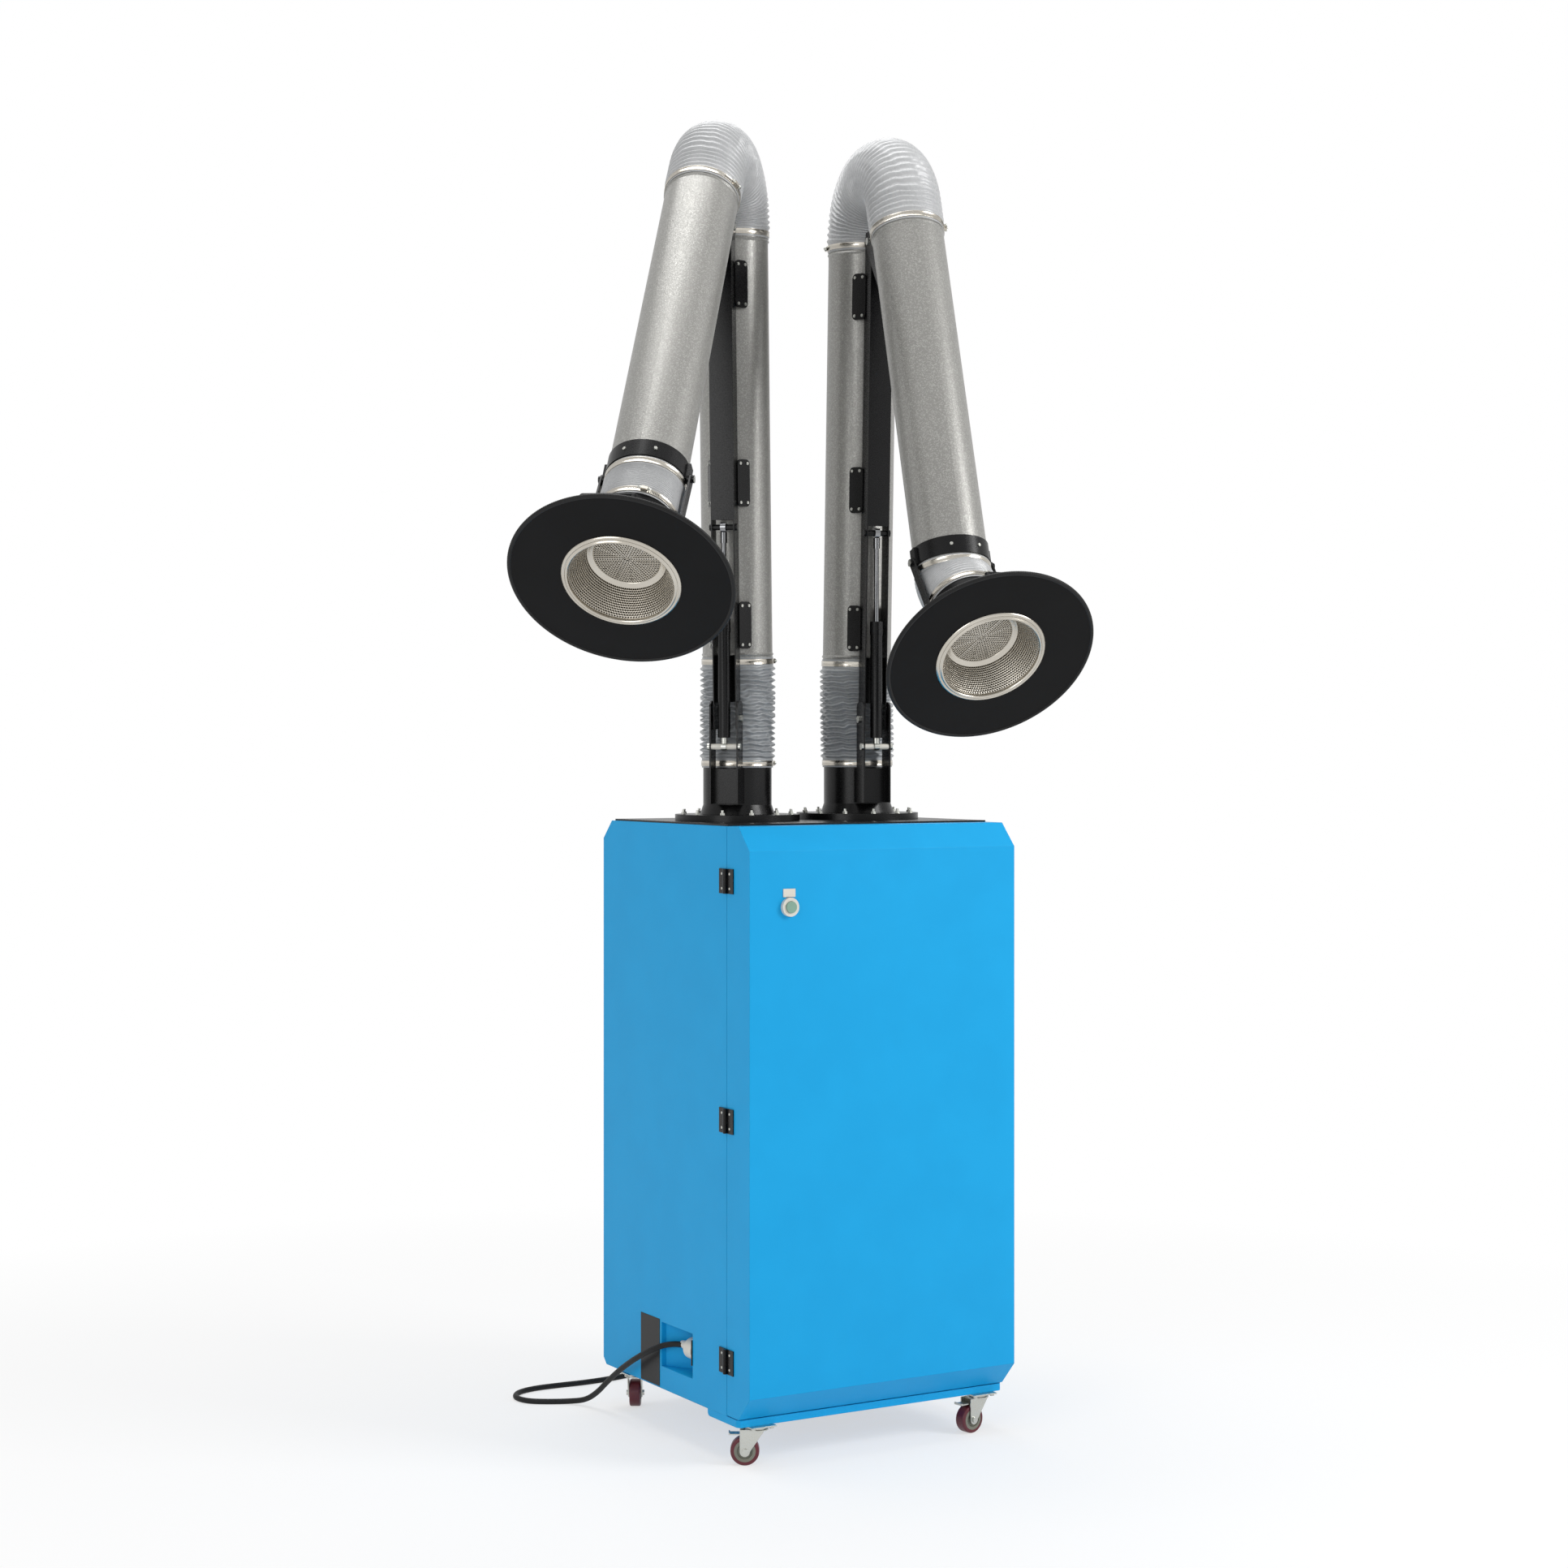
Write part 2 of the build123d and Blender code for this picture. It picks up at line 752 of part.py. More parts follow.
def inlet_pieces():
    """The mains inlet on the recess's front wall, and the plug pushed onto it."""
    x = left_x + inlet_from_side
    z = base_z + recess_above_base + inlet_above_recess
    y = front_y + recess_front
    half = inlet_flange / 2
    flange = block((x - half, x + half), (y, y + inlet_flange_thickness), (z - half, z + half))
    face = y + inlet_flange_thickness
    collar = bar_between((x, face, z), (x, face + inlet_collar_length, z), inlet_collar_radius)
    inlet = flange + collar
    inlet -= bar_between((x, face, z), (x, face + inlet_collar_length + overrun, z), inlet_bore_radius)
    body_start = face + inlet_collar_length + running_gap
    body_end = body_start + plug_body_length
    tail_end = body_end + plug_tail_length
    plug = bar_between((x, body_start, z), (x, body_end, z), plug_body_radius)
    plug += bar_between((x, body_start - plug_nose_length, z), (x, body_start, z), plug_nose_radius)
    plug += bar_between((x, body_end, z), (x, tail_end, z), plug_tail_radius)
    return inlet, plug, (x, tail_end, z)


def coil_path():
    """The coil's centre line: a spiral in, a half turn that climbs a layer, and a spiral out."""
    centre_x, centre_y = coil_centre
    low = cord_radius
    high = low + coil_pitch
    x = -coil_outer_radius
    start = (centre_x + x, centre_y - 2 * cord_radius, low)
    arcs = [Line(start, (centre_x + x, centre_y, low))]
    heading = 1
    radius = coil_outer_radius

    def half_turn(from_x, turn_radius, way, z):
        """A level half turn clockwise, seen from above."""
        to_x = from_x + way * 2 * turn_radius
        middle = (centre_x + (from_x + to_x) / 2, centre_y + way * turn_radius, z)
        arcs.append(ThreePointArc((centre_x + from_x, centre_y, z), middle, (centre_x + to_x, centre_y, z)))
        return to_x

    for step in range(coil_half_turns):
        x = half_turn(x, radius, heading, low)
        heading = -heading
        radius -= coil_pitch / 2
    rise = high - low
    crest = sqrt(radius**2 + rise**2 / 4)
    middle_x = x + heading * radius
    summit = (centre_x + middle_x, centre_y + heading * crest, low + rise / 2)
    last = (centre_x + x + heading * 2 * radius, centre_y, high)
    quarter = TangentArc((centre_x + x, centre_y, low), summit, tangent=(0, heading, 0))
    arcs.append(quarter)
    arcs.append(TangentArc(summit, last, tangent=quarter % 1))
    x += heading * 2 * radius
    heading = -heading
    radius += coil_pitch / 2
    while radius <= coil_outer_radius - coil_pitch / 2:
        x = half_turn(x, radius, heading, high)
        heading = -heading
        radius += coil_pitch / 2
    end = (centre_x + x, centre_y + heading * coil_tail, high)
    arcs.append(Line((centre_x + x, centre_y, high), end))
    return Wire(arcs), start, end, heading


def least_gap(path, radius, steps):
    """The least gap between stretches of a round tube that are over three radii apart along it."""
    length = path.length
    points = [path @ (step / steps) for step in range(steps + 1)]
    skip = ceil(3 * 2 * radius / (length / steps))
    nearest = min(
        (points[first] - points[second]).length
        for first in range(len(points))
        for second in range(first + skip, len(points))
    )
    return nearest - 2 * radius


def swept_tube(path, radius):
    """A round bar swept along a path."""
    section = Plane(origin=path @ 0, z_dir=path % 0) * Circle(radius)
    return sweep(section, path=path)


def mains_cord():
    """The free cord, its coil, and the plug at its end."""
    inlet, plug, exit_point = inlet_pieces()
    coil, coil_start, coil_end, heading = coil_path()
    before_coil = (coil_start[0], coil_start[1] - 4 * cord_radius, coil_start[2])
    points = [Vector(*exit_point), *[Vector(*place) for place in cord_route]]
    points += [Vector(*before_coil), Vector(*coil_start)]
    radii = []
    for before, here, after in zip(points, points[1:], points[2:]):
        turn = radians((here - before).get_angle(after - here))
        shorter = min((here - before).length, (after - here).length)
        radii.append(0.45 * shorter / tan(turn / 2))
    print("cord bend radii:", [round(radius, 1) for radius in radii])
    path = FilletPolyline(*points, radius=radii)
    cord = swept_tube(path, cord_radius)
    tube = swept_tube(coil, cord_radius)
    for name, line, solid in (("cord", path, cord), ("coil", coil, tube)):
        full_volume = line.length * pi * cord_radius**2
        print(name, "length", round(line.length), "volume ratio", round(solid.volume / full_volume, 4))
    print("coil's least gap to itself", round(least_gap(coil, cord_radius, 900), 2))
    x, y, z = coil_end
    tail_end = y + heading * mains_tail_length
    body_end = tail_end + heading * mains_plug_length
    far_plug = bar_between(coil_end, (x, tail_end, z), mains_tail_radius)
    far_plug += bar_between((x, tail_end, z), (x, body_end, z), mains_plug_radius)
    for step in range(mains_pin_count):
        angle = 2 * pi * step / mains_pin_count
        pin_x = x + mains_pin_circle * cos(angle)
        pin_z = z + mains_pin_circle * sin(angle)
        far_plug += bar_between(
            (pin_x, body_end, pin_z),
            (pin_x, body_end + heading * mains_pin_length, pin_z),
            mains_pin_radius,
        )
    parts["power_inlet"] = inlet
    parts["inlet_plug"] = plug
    parts["power_cord"] = cord
    parts["cord_coil"] = tube
    parts["mains_plug"] = far_plug


def filter_plate():
    """The plate between the dusty front chamber and the clean rear chamber, folded back at its top."""
    low = floor_inside_z
    high = base_z + partition_height
    half = cabinet_width / 2 - sheet
    plate = block((-half, half), (partition_y, partition_y + partition_thickness), (low, high))
    plate += block((-half, half), (partition_y, rear_y - sheet), (high - partition_thickness, high))
    for x, z in cartridge_places():
        plate -= bar_between(
            (x, partition_y - overrun, z),
            (x, partition_y + partition_thickness + overrun, z),
            cartridge_bore_radius,
        )
    for side in (-1, 1):
        edge = side * tray_width / 2
        plate += block(
            tuple(sorted((edge, edge - side * runner_width))),
            (front_y + front_lip, partition_y),
            (low, tray_floor_z - running_gap),
        )
    return plate


def cartridge_places():
    """Where the four filter cartridges stand on the filter plate."""
    rows = (base_z + cartridge_lower, base_z + cartridge_lower + cartridge_spacing)
    return [(side * cartridge_spacing / 2, z) for z in rows for side in (-1, 1)]


def filter_cartridges():
    """Four pleated cartridges, each with a closed outer cap and an open cap on the filter plate."""
    pieces = []
    for x, z in cartridge_places():
        points = []
        for step in range(2 * pleat_count):
            radius = cartridge_radius - (step % 2) * pleat_depth
            angle = pi * step / pleat_count
            points.append((x + radius * cos(angle), 0, z + radius * sin(angle)))
        rear = partition_y
        front = rear - cartridge_length
        pleats = [(px, rear - cartridge_cap_thickness, pz) for px, _, pz in points]
        media_run = cartridge_length - 2 * cartridge_cap_thickness
        media = prism(pleats, (0, -media_run, 0))
        bore = bar_between((x, rear + overrun, z), (x, front - overrun, z), cartridge_bore_radius)
        media -= bore
        open_cap = bar_between((x, rear, z), (x, rear - cartridge_cap_thickness, z), cartridge_radius)
        pieces.append(media)
        pieces.append(open_cap - bore)
        pieces.append(
            bar_between((x, front, z), (x, front + cartridge_cap_thickness, z), cartridge_radius)
        )
    return group(*pieces)


def dust_tray():
    """The tray under the cartridges, with a bow handle on its front."""
    half = tray_width / 2
    front = front_y + front_lip
    low = tray_floor_z
    high = low + tray_height
    tray = block((-half, half), (front, front + tray_depth), (low, high))
    tray -= block(
        (-half + sheet, half - sheet),
        (front + sheet, front + tray_depth - sheet),
        (low + sheet, high + overrun),
    )
    grip_z = low + tray_height / 2
    grip_y = front - tray_handle_height
    reach = tray_handle_width / 2
    bow = bar_between((-reach, front, grip_z), (-reach, grip_y, grip_z), striker_radius)
    bow += bar_between((reach, front, grip_z), (reach, grip_y, grip_z), striker_radius)
    bow += bar_between(
        (-reach - striker_radius, grip_y, grip_z),
        (reach + striker_radius, grip_y, grip_z),
        striker_radius,
    )
    return tray + bow


def fan_housing():
    """The fan's scroll, with its inlet on the right and its spout at the rear louvres."""
    y, z = fan_axis
    wall_right = fan_from_middle
    wall_left = wall_right - housing_width
    outlet = rear_y - sheet - running_gap

    def scroll(inset, spout_end):
        """The scroll's outline, set in from its outer face."""
        left = (wall_left + inset, y, z)
        right = (wall_right - inset, y, z)
        drum = bar_between(left, right, housing_radius - inset)
        spout = block(
            (wall_left + inset, wall_right - inset),
            (y, spout_end),
            (z + housing_radius - spout_height + inset, z + housing_radius - inset),
        )
        return drum + spout

    housing = scroll(0, outlet) - scroll(sheet, outlet + overrun)
    housing -= bar_between((wall_right - overrun, y, z), (wall_right + overrun, y, z), fan_inlet_radius)
    shaft_hole = motor_shaft_radius + running_gap
    housing -= bar_between((wall_left - overrun, y, z), (wall_left + overrun, y, z), shaft_hole)
    foot_half = housing_radius / 2
    for x in (wall_left, wall_right - sheet):
        housing += block(
            (x, x + sheet),
            (y - foot_half, y + foot_half),
            (floor_inside_z, z - fan_inlet_radius - sheet),
        )
    housing -= scroll(sheet, outlet + overrun)
    return housing


def fan_motor():
    """The motor on its foot, with its shaft through the fan housing."""
    y, z = fan_axis
    wall_left = fan_from_middle - housing_width
    end = wall_left - motor_gap
    start = end - motor_length
    motor = bar_between((start, y, z), (end, y, z), motor_radius)
    foot_half = motor_foot_width / 2
    foot_top = floor_inside_z + motor_foot_thickness
    motor += block((start, end), (y - foot_half, y + foot_half), (floor_inside_z, foot_top))
    motor += block((start, end), (y - foot_half / 2, y + foot_half / 2), (floor_inside_z, z))
    shaft_end = fan_from_middle - sheet - running_gap - impeller_width / 2
    motor += bar_between((end, y, z), (shaft_end, y, z), motor_shaft_radius)
    return motor


def fan_impeller():
    """The backward-curved wheel: disc, shroud ring, hub and blades."""
    y, z = fan_axis
    left = fan_from_middle - housing_width + sheet + (housing_width - 2 * sheet - impeller_width) / 2
    right = left + impeller_width
    disc = bar_between((left, y, z), (left + impeller_disc_thickness, y, z), impeller_radius)
    hub = bar_between((left, y, z), (left + impeller_width / 2, y, z), impeller_hub_radius)
    shroud = bar_between((right - impeller_disc_thickness, y, z), (right, y, z), impeller_radius)
    shroud -= bar_between((left, y, z), (right + overrun, y, z), impeller_eye_radius)
    wheel = disc + hub + shroud
    inner = impeller_radius - blade_length
    for step in range(blade_count):
        blade = block(
            (left, right),
            (inner, impeller_radius - blade_thickness),
            (-blade_thickness / 2, blade_thickness / 2),
        )
        wheel += Pos(0, y, z) * Rot(360 * step / blade_count, 0, 0) * blade
    shaft_end = fan_from_middle - sheet - running_gap - impeller_width / 2
    bore = motor_shaft_radius + pin_clearance
    wheel -= bar_between((left - overrun, y, z), (shaft_end + running_gap, y, z), bore)
    return wheel


def top_plate():
    """The black plate on top of the body, with the two duct openings."""
    plate = block(
        (left_x + top_plate_inset, right_x - top_plate_inset),
        (front_y + top_plate_inset, rear_y - rear_bevel_depth - top_plate_inset),
        (top_z, plate_top_z),
    )
    for side in (-1, 1):
        place = Pos(side * arm_half_spacing, arm_behind_middle, 0)
        plate -= place * upright(turntable_duct_radius, top_z - overrun, plate_top_z + overrun)
    return plate


def turntable(side):
    """One bolted turntable ring: it holds the collar's flange under a retaining ring."""
    low = plate_top_z
    base_top = low + turntable_base_thickness
    space_top = base_top + collar_flange_thickness + 2 * running_gap
    high = space_top + retainer_thickness
    ring = pipe(turntable_radius, turntable_duct_radius, low, base_top)
    ring += pipe(turntable_radius, collar_flange_radius + 2 * running_gap, base_top, space_top)
    ring += pipe(turntable_radius, retainer_bore_radius, space_top, high)
    for step in range(stud_count):
        angle = 2 * pi * (step + 1 / 2) / stud_count
        x = stud_circle_radius * cos(angle)
        y = stud_circle_radius * sin(angle)
        ring += Pos(x, y, 0) * upright(stud_radius, high - retainer_thickness, high + stud_length)
        nut = extrude(RegularPolygon(nut_radius, 6), amount=nut_height)
        ring += Pos(x, y, high) * nut
    return Pos(side * arm_half_spacing, arm_behind_middle, 0) * ring


def castor_fixed():
    """One castor's bolted plate with its upper race and kingpin, about its own swivel axis."""
    top = chassis_z
    half = castor_plate / 2
    plate = block((-half, half), (-half, half), (top - castor_plate_thickness, top))
    race_low = top - castor_plate_thickness - race_height
    plate += upright(race_radius, race_low, top)
    pin_low = race_low - fork_sheet - 2 * running_gap - kingpin_nut_height
    plate += upright(kingpin_radius, pin_low, top)
    plate += upright(kingpin_nut_radius, pin_low, pin_low + kingpin_nut_height)
    for x in (-castor_plate_bolt, castor_plate_bolt):
        for y in (-castor_plate_bolt, castor_plate_bolt):
            low = top - castor_plate_thickness - castor_bolt_height
            plate += Pos(x, y, 0) * upright(castor_bolt_radius, low, top)
    return plate


def castor_fork(braked):
    """A swivelling fork, trailing towards +X, with its axle."""
    race_low = chassis_z - castor_plate_thickness - race_height
    high = race_low - running_gap
    low = high - fork_sheet
    half = fork_gap / 2
    outside = half + fork_sheet
    crown = upright(fork_top_radius, low, high)
    crown += block((0, castor_trail), (-outside, outside), (low, high))
    cheek_top = (
        (-fork_top_radius * 0.7, high),
        (castor_trail + fork_cheek_radius, high),
        (castor_trail + fork_cheek_radius, wheel_radius),
        (castor_trail - fork_cheek_radius, wheel_radius),
    )
    cheek = prism([(x, half, z) for x, z in cheek_top], (0, fork_sheet, 0))
    cheek += bar_between(
        (castor_trail, half, wheel_radius),
        (castor_trail, outside, wheel_radius),
        fork_cheek_radius,
    )
    fork = crown
    for piece in mirrored(cheek):
        fork += piece
    fork += crossbar(castor_trail, wheel_radius, outside, axle_radius)
    for side in (-1, 1):
        fork += bar_between(
            (castor_trail, side * outside, wheel_radius),
            (castor_trail, side * (outside + axle_head_height), wheel_radius),
            axle_head_radius,
        )
    if braked:
        fork += crossbar(pedal_pivot_out, pedal_pivot_up, outside, pedal_pin_radius)
    fork -= upright(kingpin_radius + pin_clearance, low - overrun, high + overrun)
    return fork


def castor_wheel():
    """A grooved hub with a tyre round it, standing on the floor under the axle."""
    half = wheel_width / 2
    rim = wheel_radius - tyre_thickness
    place = Pos(castor_trail, 0, wheel_radius) * Rot(90, 0, 0)
    hub = upright(rim, -half, half)
    for side in (-1, 1):
        deep = side * (half - hub_groove_depth)
        outer = side * (half + overrun)
        groove = pipe(hub_groove_radius, hub_boss_radius, min(deep, outer), max(deep, outer))
        hub -= groove
    hub -= upright(axle_radius + pin_clearance, -half - overrun, half + overrun)
    tyre = pipe(wheel_radius, rim, -half, half)
    edges = tyre.edges().filter_by(GeomType.CIRCLE).group_by(SortBy.RADIUS)[-1]
    tyre = fillet(edges, tyre_thickness / 2)
    return group(place * hub, place * tyre)


def brake_pedal():
    """The foot pedal over a front wheel, hung on a pin between the cheeks."""
    half = pedal_width / 2
    start = pedal_pivot_out
    low = pedal_pivot_up
    plate = block((start, start + pedal_reach), (-half, half), (low, low + pedal_thickness))
    eye = crossbar(pedal_pivot_out, pedal_pivot_up, half, pedal_eye_radius)
    toe = block(
        (start + pedal_reach - pedal_thickness, start + pedal_reach),
        (-half, half),
        (low, low + 2 * pedal_thickness),
    )
    pedal = plate + eye + toe
    bore = pedal_pin_radius + pin_clearance
    return pedal - crossbar(pedal_pivot_out, pedal_pivot_up, half + overrun, bore)


def swivel_collar():
    """The turning collar of an arm, with the box and the two shoulder plates on its front."""
    low = plate_top_z + turntable_base_thickness + running_gap
    high = collar_top_z
    inner = collar_radius - collar_wall
    flange_top = low + collar_flange_thickness
    flare_low = flange_top + retainer_thickness + running_gap
    collar = upright(collar_radius, low, high)
    collar += upright(collar_flange_radius, low, flange_top)
    collar += cone_between(collar_flare_radius, collar_radius, flare_low, flare_low + collar_flare_height)
    box_half = arm_box_width / 2
    collar += block(
        (0, shoulder_out),
        (-box_half, box_half),
        (top_z + arm_box_base, top_z + arm_box_top),
    )
    ear_outline = (
        (shoulder_out - collar_radius / 2, top_z + arm_box_base),
        (ear_front, top_z + arm_box_base),
        (ear_front, shoulder_z + ear_top),
        (ear_back, shoulder_z + ear_top),
        (ear_back, top_z + arm_box_top),
        (shoulder_out - collar_radius / 2, top_z + arm_box_top),
    )
    ear = prism([(x, box_half - ear_thickness, z) for x, z in ear_outline], (0, ear_thickness, 0))
    top_edges = ear.edges().filter_by(Axis.Y).group_by(Axis.Z)[-1]
    ear = fillet(top_edges, ear_corner_radius)
    for piece in mirrored(ear):
        collar += piece
    collar -= upright(inner, low - overrun, high + overrun)
    foot_x = shoulder_out + spring_foot[0]
    foot_z = shoulder_z + spring_foot[1]
    pins = []
    for x, z, radius, inner_end in (
        (shoulder_out, shoulder_z, shoulder_pin_radius, channel_width / 2 - channel_sheet),
        (foot_x, foot_z, spring_pin_radius, 0),
    ):
        collar -= crossbar(x, z, box_half + overrun, radius)
        half_pin = bar_between((x, inner_end, z), (x, box_half, z), radius)
        half_pin += bar_between(
            (x, box_half, z),
            (x, box_half + pin_head_height, z),
            pin_head_radius,
        )
        both = mirrored(half_pin)
        pins.extend(both if inner_end else [both[0] + both[1]])
    spacer = bar_between(
        (foot_x, spring_eye_width / 2 + running_gap, foot_z),
        (foot_x, box_half - ear_thickness, foot_z),
        spacer_radius,
    )
    spacer -= crossbar(foot_x, foot_z, box_half, spring_pin_radius)
    return group(collar, *pins, *mirrored(spacer))


def bead_ring(radius, middle):
    """A rolled bead round a duct."""
    half = bead_width / 2
    ring = cone_between(radius, radius + bead_height, middle - half, middle)
    ring += cone_between(radius + bead_height, radius, middle, middle + half)
    return ring


def lower_tube():
    """The lower duct, in the frame of the lower arm."""
    tube = upright(duct_radius, lower_tube_start, lower_tube_end)
    tube += bead_ring(duct_radius, lower_bead_low)
    tube += bead_ring(duct_radius, lower_bead_high)
    tube -= upright(duct_radius - duct_wall, lower_tube_start - overrun, lower_tube_end + overrun)
    return Pos(-tube_behind_pin, 0, 0) * tube


def arm_channel():
    """The channel in front of the lower duct, its straps to the duct, and the gas spring's upper pin."""
    half = channel_width / 2
    inside = half - channel_sheet
    channel = block((-channel_back, channel_front), (-half, half), (-channel_start, channel_top))
    channel -= block(
        (-channel_back - overrun, channel_front - channel_sheet),
        (-inside, inside),
        (-channel_start - overrun, channel_top + overrun),
    )
    channel -= block(
        (-channel_back - overrun, channel_front + overrun),
        (-inside, inside),
        (-channel_start - overrun, window_top),
    )
    bridge_low = lower_bead_low - strap_length
    channel += block(
        (-channel_back, -channel_back + channel_sheet),
        (-half, half),
        (bridge_low, lower_bead_low),
    )
    channel -= crossbar(0, 0, half + overrun, shoulder_pin_radius + pin_clearance)
    head_x, head_z = spring_head
    channel -= crossbar(head_x, head_z, half + overrun, spring_pin_radius)
    pin = crossbar(head_x, head_z, half, spring_pin_radius)
    for side in (-1, 1):
        pin += bar_between(
            (head_x, side * half, head_z),
            (head_x, side * (half + pin_head_height), head_z),
            pin_head_radius,
        )
    spacer = bar_between(
        (head_x, spring_eye_width / 2 + running_gap, head_z),
        (head_x, inside, head_z),
        spacer_radius,
    )
    spacer -= crossbar(head_x, head_z, half, spring_pin_radius)
    elbow_hole = elbow_pin_radius + pin_clearance
    channel -= crossbar(elbow_ahead, elbow_up, half + overrun, elbow_hole)
    near = Vector(-strap_lap, half, 0)
    seat = duct_radius + seat_gap
    far_angle = radians(strap_seat_angle)
    far = Vector(seat * cos(far_angle) - tube_behind_pin, seat * sin(far_angle), 0)
    strap_width = (far - near).length
    outward = (far - near).cross(Vector(0, 0, 1))
    straps = []
    for height in strap_heights:
        middle = (near + far) / 2 + Vector(0, 0, height)
        plane = Plane(origin=middle, x_dir=far - near, z_dir=outward)
        outline = RectangleRounded(strap_width, strap_length, strap_corner_radius)
        straps.extend(mirrored(plane * extrude(outline, amount=strap_thickness)))
        across_reach = strap_width / 2 - strap_screw_inset
        along_reach = strap_length / 2 - strap_screw_inset
        for across_way in (-1, 1):
            for along_way in (-1, 1):
                place = Pos(across_way * across_reach, along_way * along_reach, strap_thickness)
                screw = plane * place * upright(strap_screw_radius, 0, strap_screw_height)
                straps.extend(mirrored(screw))
    return group(channel, pin, *mirrored(spacer), *straps)


def spring_line(lean):
    """Where the gas spring lies for a lean of the lower arm: its foot, its head and its length."""
    head_x = spring_head[0] * cos(lean) + spring_head[1] * sin(lean)
    head_z = spring_head[1] * cos(lean) - spring_head[0] * sin(lean)
    run_x = head_x - spring_foot[0]
    run_z = head_z - spring_foot[1]
    return atan2(run_x, run_z), hypot(run_x, run_z)


def gas_cylinder():
    """The gas spring's cylinder, standing on its lower pin at the origin."""
    end = cylinder_start + cylinder_length
    body = upright(cylinder_radius, cylinder_start, end)
    body += upright(cylinder_cap_radius, end - cylinder_cap_height, end)
    body += upright(ferrule_radius, spacer_radius + running_gap, cylinder_start)
    body += crossbar(0, 0, spring_eye_width / 2, spring_eye_radius)
    floor = cylinder_start + cylinder_radius
    body -= upright(cylinder_bore_radius, floor, end - cylinder_cap_height)
    body -= upright(rod_radius + pin_clearance, floor, end + overrun)
    return body - crossbar(0, 0, spring_eye_width, spring_pin_radius + pin_clearance)


def gas_rod(length):
    """The gas spring's rod, piston and loose upper eye, for a pin distance of length."""
    inner_end = cylinder_start + cylinder_length - rod_inside
    neck = length - spring_head_eye_radius
    rod = upright(rod_radius, inner_end, neck)
    piston_radius = cylinder_bore_radius - piston_clearance
    rod += upright(piston_radius, inner_end, inner_end + piston_length)
    rod += upright(ferrule_radius, neck - ferrule_length, neck)
    eye = Pos(0, 0, length) * crossbar(0, 0, spring_eye_width / 2, spring_head_eye_radius)
    rod += eye
    return rod - Pos(0, 0, length) * crossbar(0, 0, spring_eye_width, spring_pin_radius + spring_head_slack)


def upper_tube():
    """The upper duct, in the frame of the upper arm."""
    high = upper_spigot - upper_bead
    low = -upper_bead - upper_length - upper_tail
    tube = upright(duct_radius, low, high)
    tube += bead_ring(duct_radius, -upper_bead)
    tube -= upright(duct_radius - duct_wall, low - overrun, high + overrun)
    return Pos(upper_axis_out, 0, 0) * tube


def elbow_bracket():
    """The forked bracket from the elbow pin to the underside of the upper duct, with the pin."""
    inner = channel_width / 2 + running_gap
    half = inner + elbow_plate_thickness
    face_x = upper_axis_out - duct_radius
    top = -upper_bead - bead_width
    cheek_outline = (
        (-elbow_plate_radius, 0),
        (0, elbow_plate_radius),
        (face_x - bracket_depth / 2, top),
        (face_x + bracket_depth / 2, top),
        (face_x + bracket_depth / 2, top - bracket_length),
        (face_x - bracket_sheet, top - bracket_length),
        (face_x - bracket_depth, top - bracket_length / 2),
    )
    cheek = prism([(x, inner, z) for x, z in cheek_outline], (0, elbow_plate_thickness, 0))
    cheek += bar_between((0, inner, 0), (0, half, 0), elbow_plate_radius)
    bracket = block(
        (face_x - bracket_sheet, face_x + bracket_depth / 2),
        (-half, half),
        (top - bracket_length, top),
    )
    for piece in mirrored(cheek):
        bracket += piece
    duct = upright(duct_radius + seat_gap, top - bracket_length - overrun, top + overrun)
    bracket -= Pos(upper_axis_out, 0, 0) * duct
    bracket += crossbar(0, 0, half, elbow_pin_radius)
    for side in (-1, 1):
        bracket += bar_between(
            (0, side * half, 0),
            (0, side * (half + pin_head_height), 0),
            pin_head_radius,
        )
    return bracket


def wrist_band():
    """The band round the end of the upper duct, with a lug on each side, about the upper wrist pins."""
    high = wrist_pin_below
    low = high - band_height
    inner = duct_radius + running_gap
    band = upright(inner + band_thickness, low, high)
    lug_outer = wrist_lug_inner + wrist_lug_thickness
    lug = bar_between((0, 0, 0), (0, lug_outer, 0), band_lug_radius)
    lug += block(
        (-band_lug_radius, band_lug_radius),
        (0, lug_outer),
        (0, high - band_thickness),
    )
    for piece in mirrored(lug):
        band += piece
    band -= upright(inner, low - band_lug_radius - overrun, high + overrun)
    band -= upright(wrist_lug_inner, low - band_lug_radius - overrun, low)
    band -= crossbar(0, 0, lug_outer + overrun, wrist_pin_radius + pin_clearance)
    for side in (-1, 1):
        for angle in (-1, 1):
            plane = Rot(0, 0, angle * 22.5 + (side - 1) * 90)
            radius = inner + band_thickness
            head = bar_between(
                (radius - band_thickness / 2, 0, high - band_height / 2),
                (radius + band_screw_height, 0, high - band_height / 2),
                band_screw_radius,
            )
            band += plane * head
    return band


def wrist_bars():
    """Two flat bars from the upper to the lower wrist pins, with the four pins, about the upper pins."""
    inner = wrist_lug_inner + wrist_lug_thickness + running_gap
    outer = inner + bar_thickness
    pin_inner = wrist_lug_inner - band_thickness / 2
    half = bar_width / 2
    pieces = []
    bar = block((-half, half), (inner, outer), (-bar_length, 0))
    for z in (0, -bar_length):
        bar += bar_between((0, inner, z), (0, outer, z), half)
    for z in (0, -bar_length):
        bar += bar_between((0, pin_inner, z), (0, outer, z), wrist_pin_radius)
        bar += bar_between((0, outer, z), (0, outer + pin_head_height, z), pin_head_radius)
    pieces.extend(mirrored(bar))
    return group(*pieces)


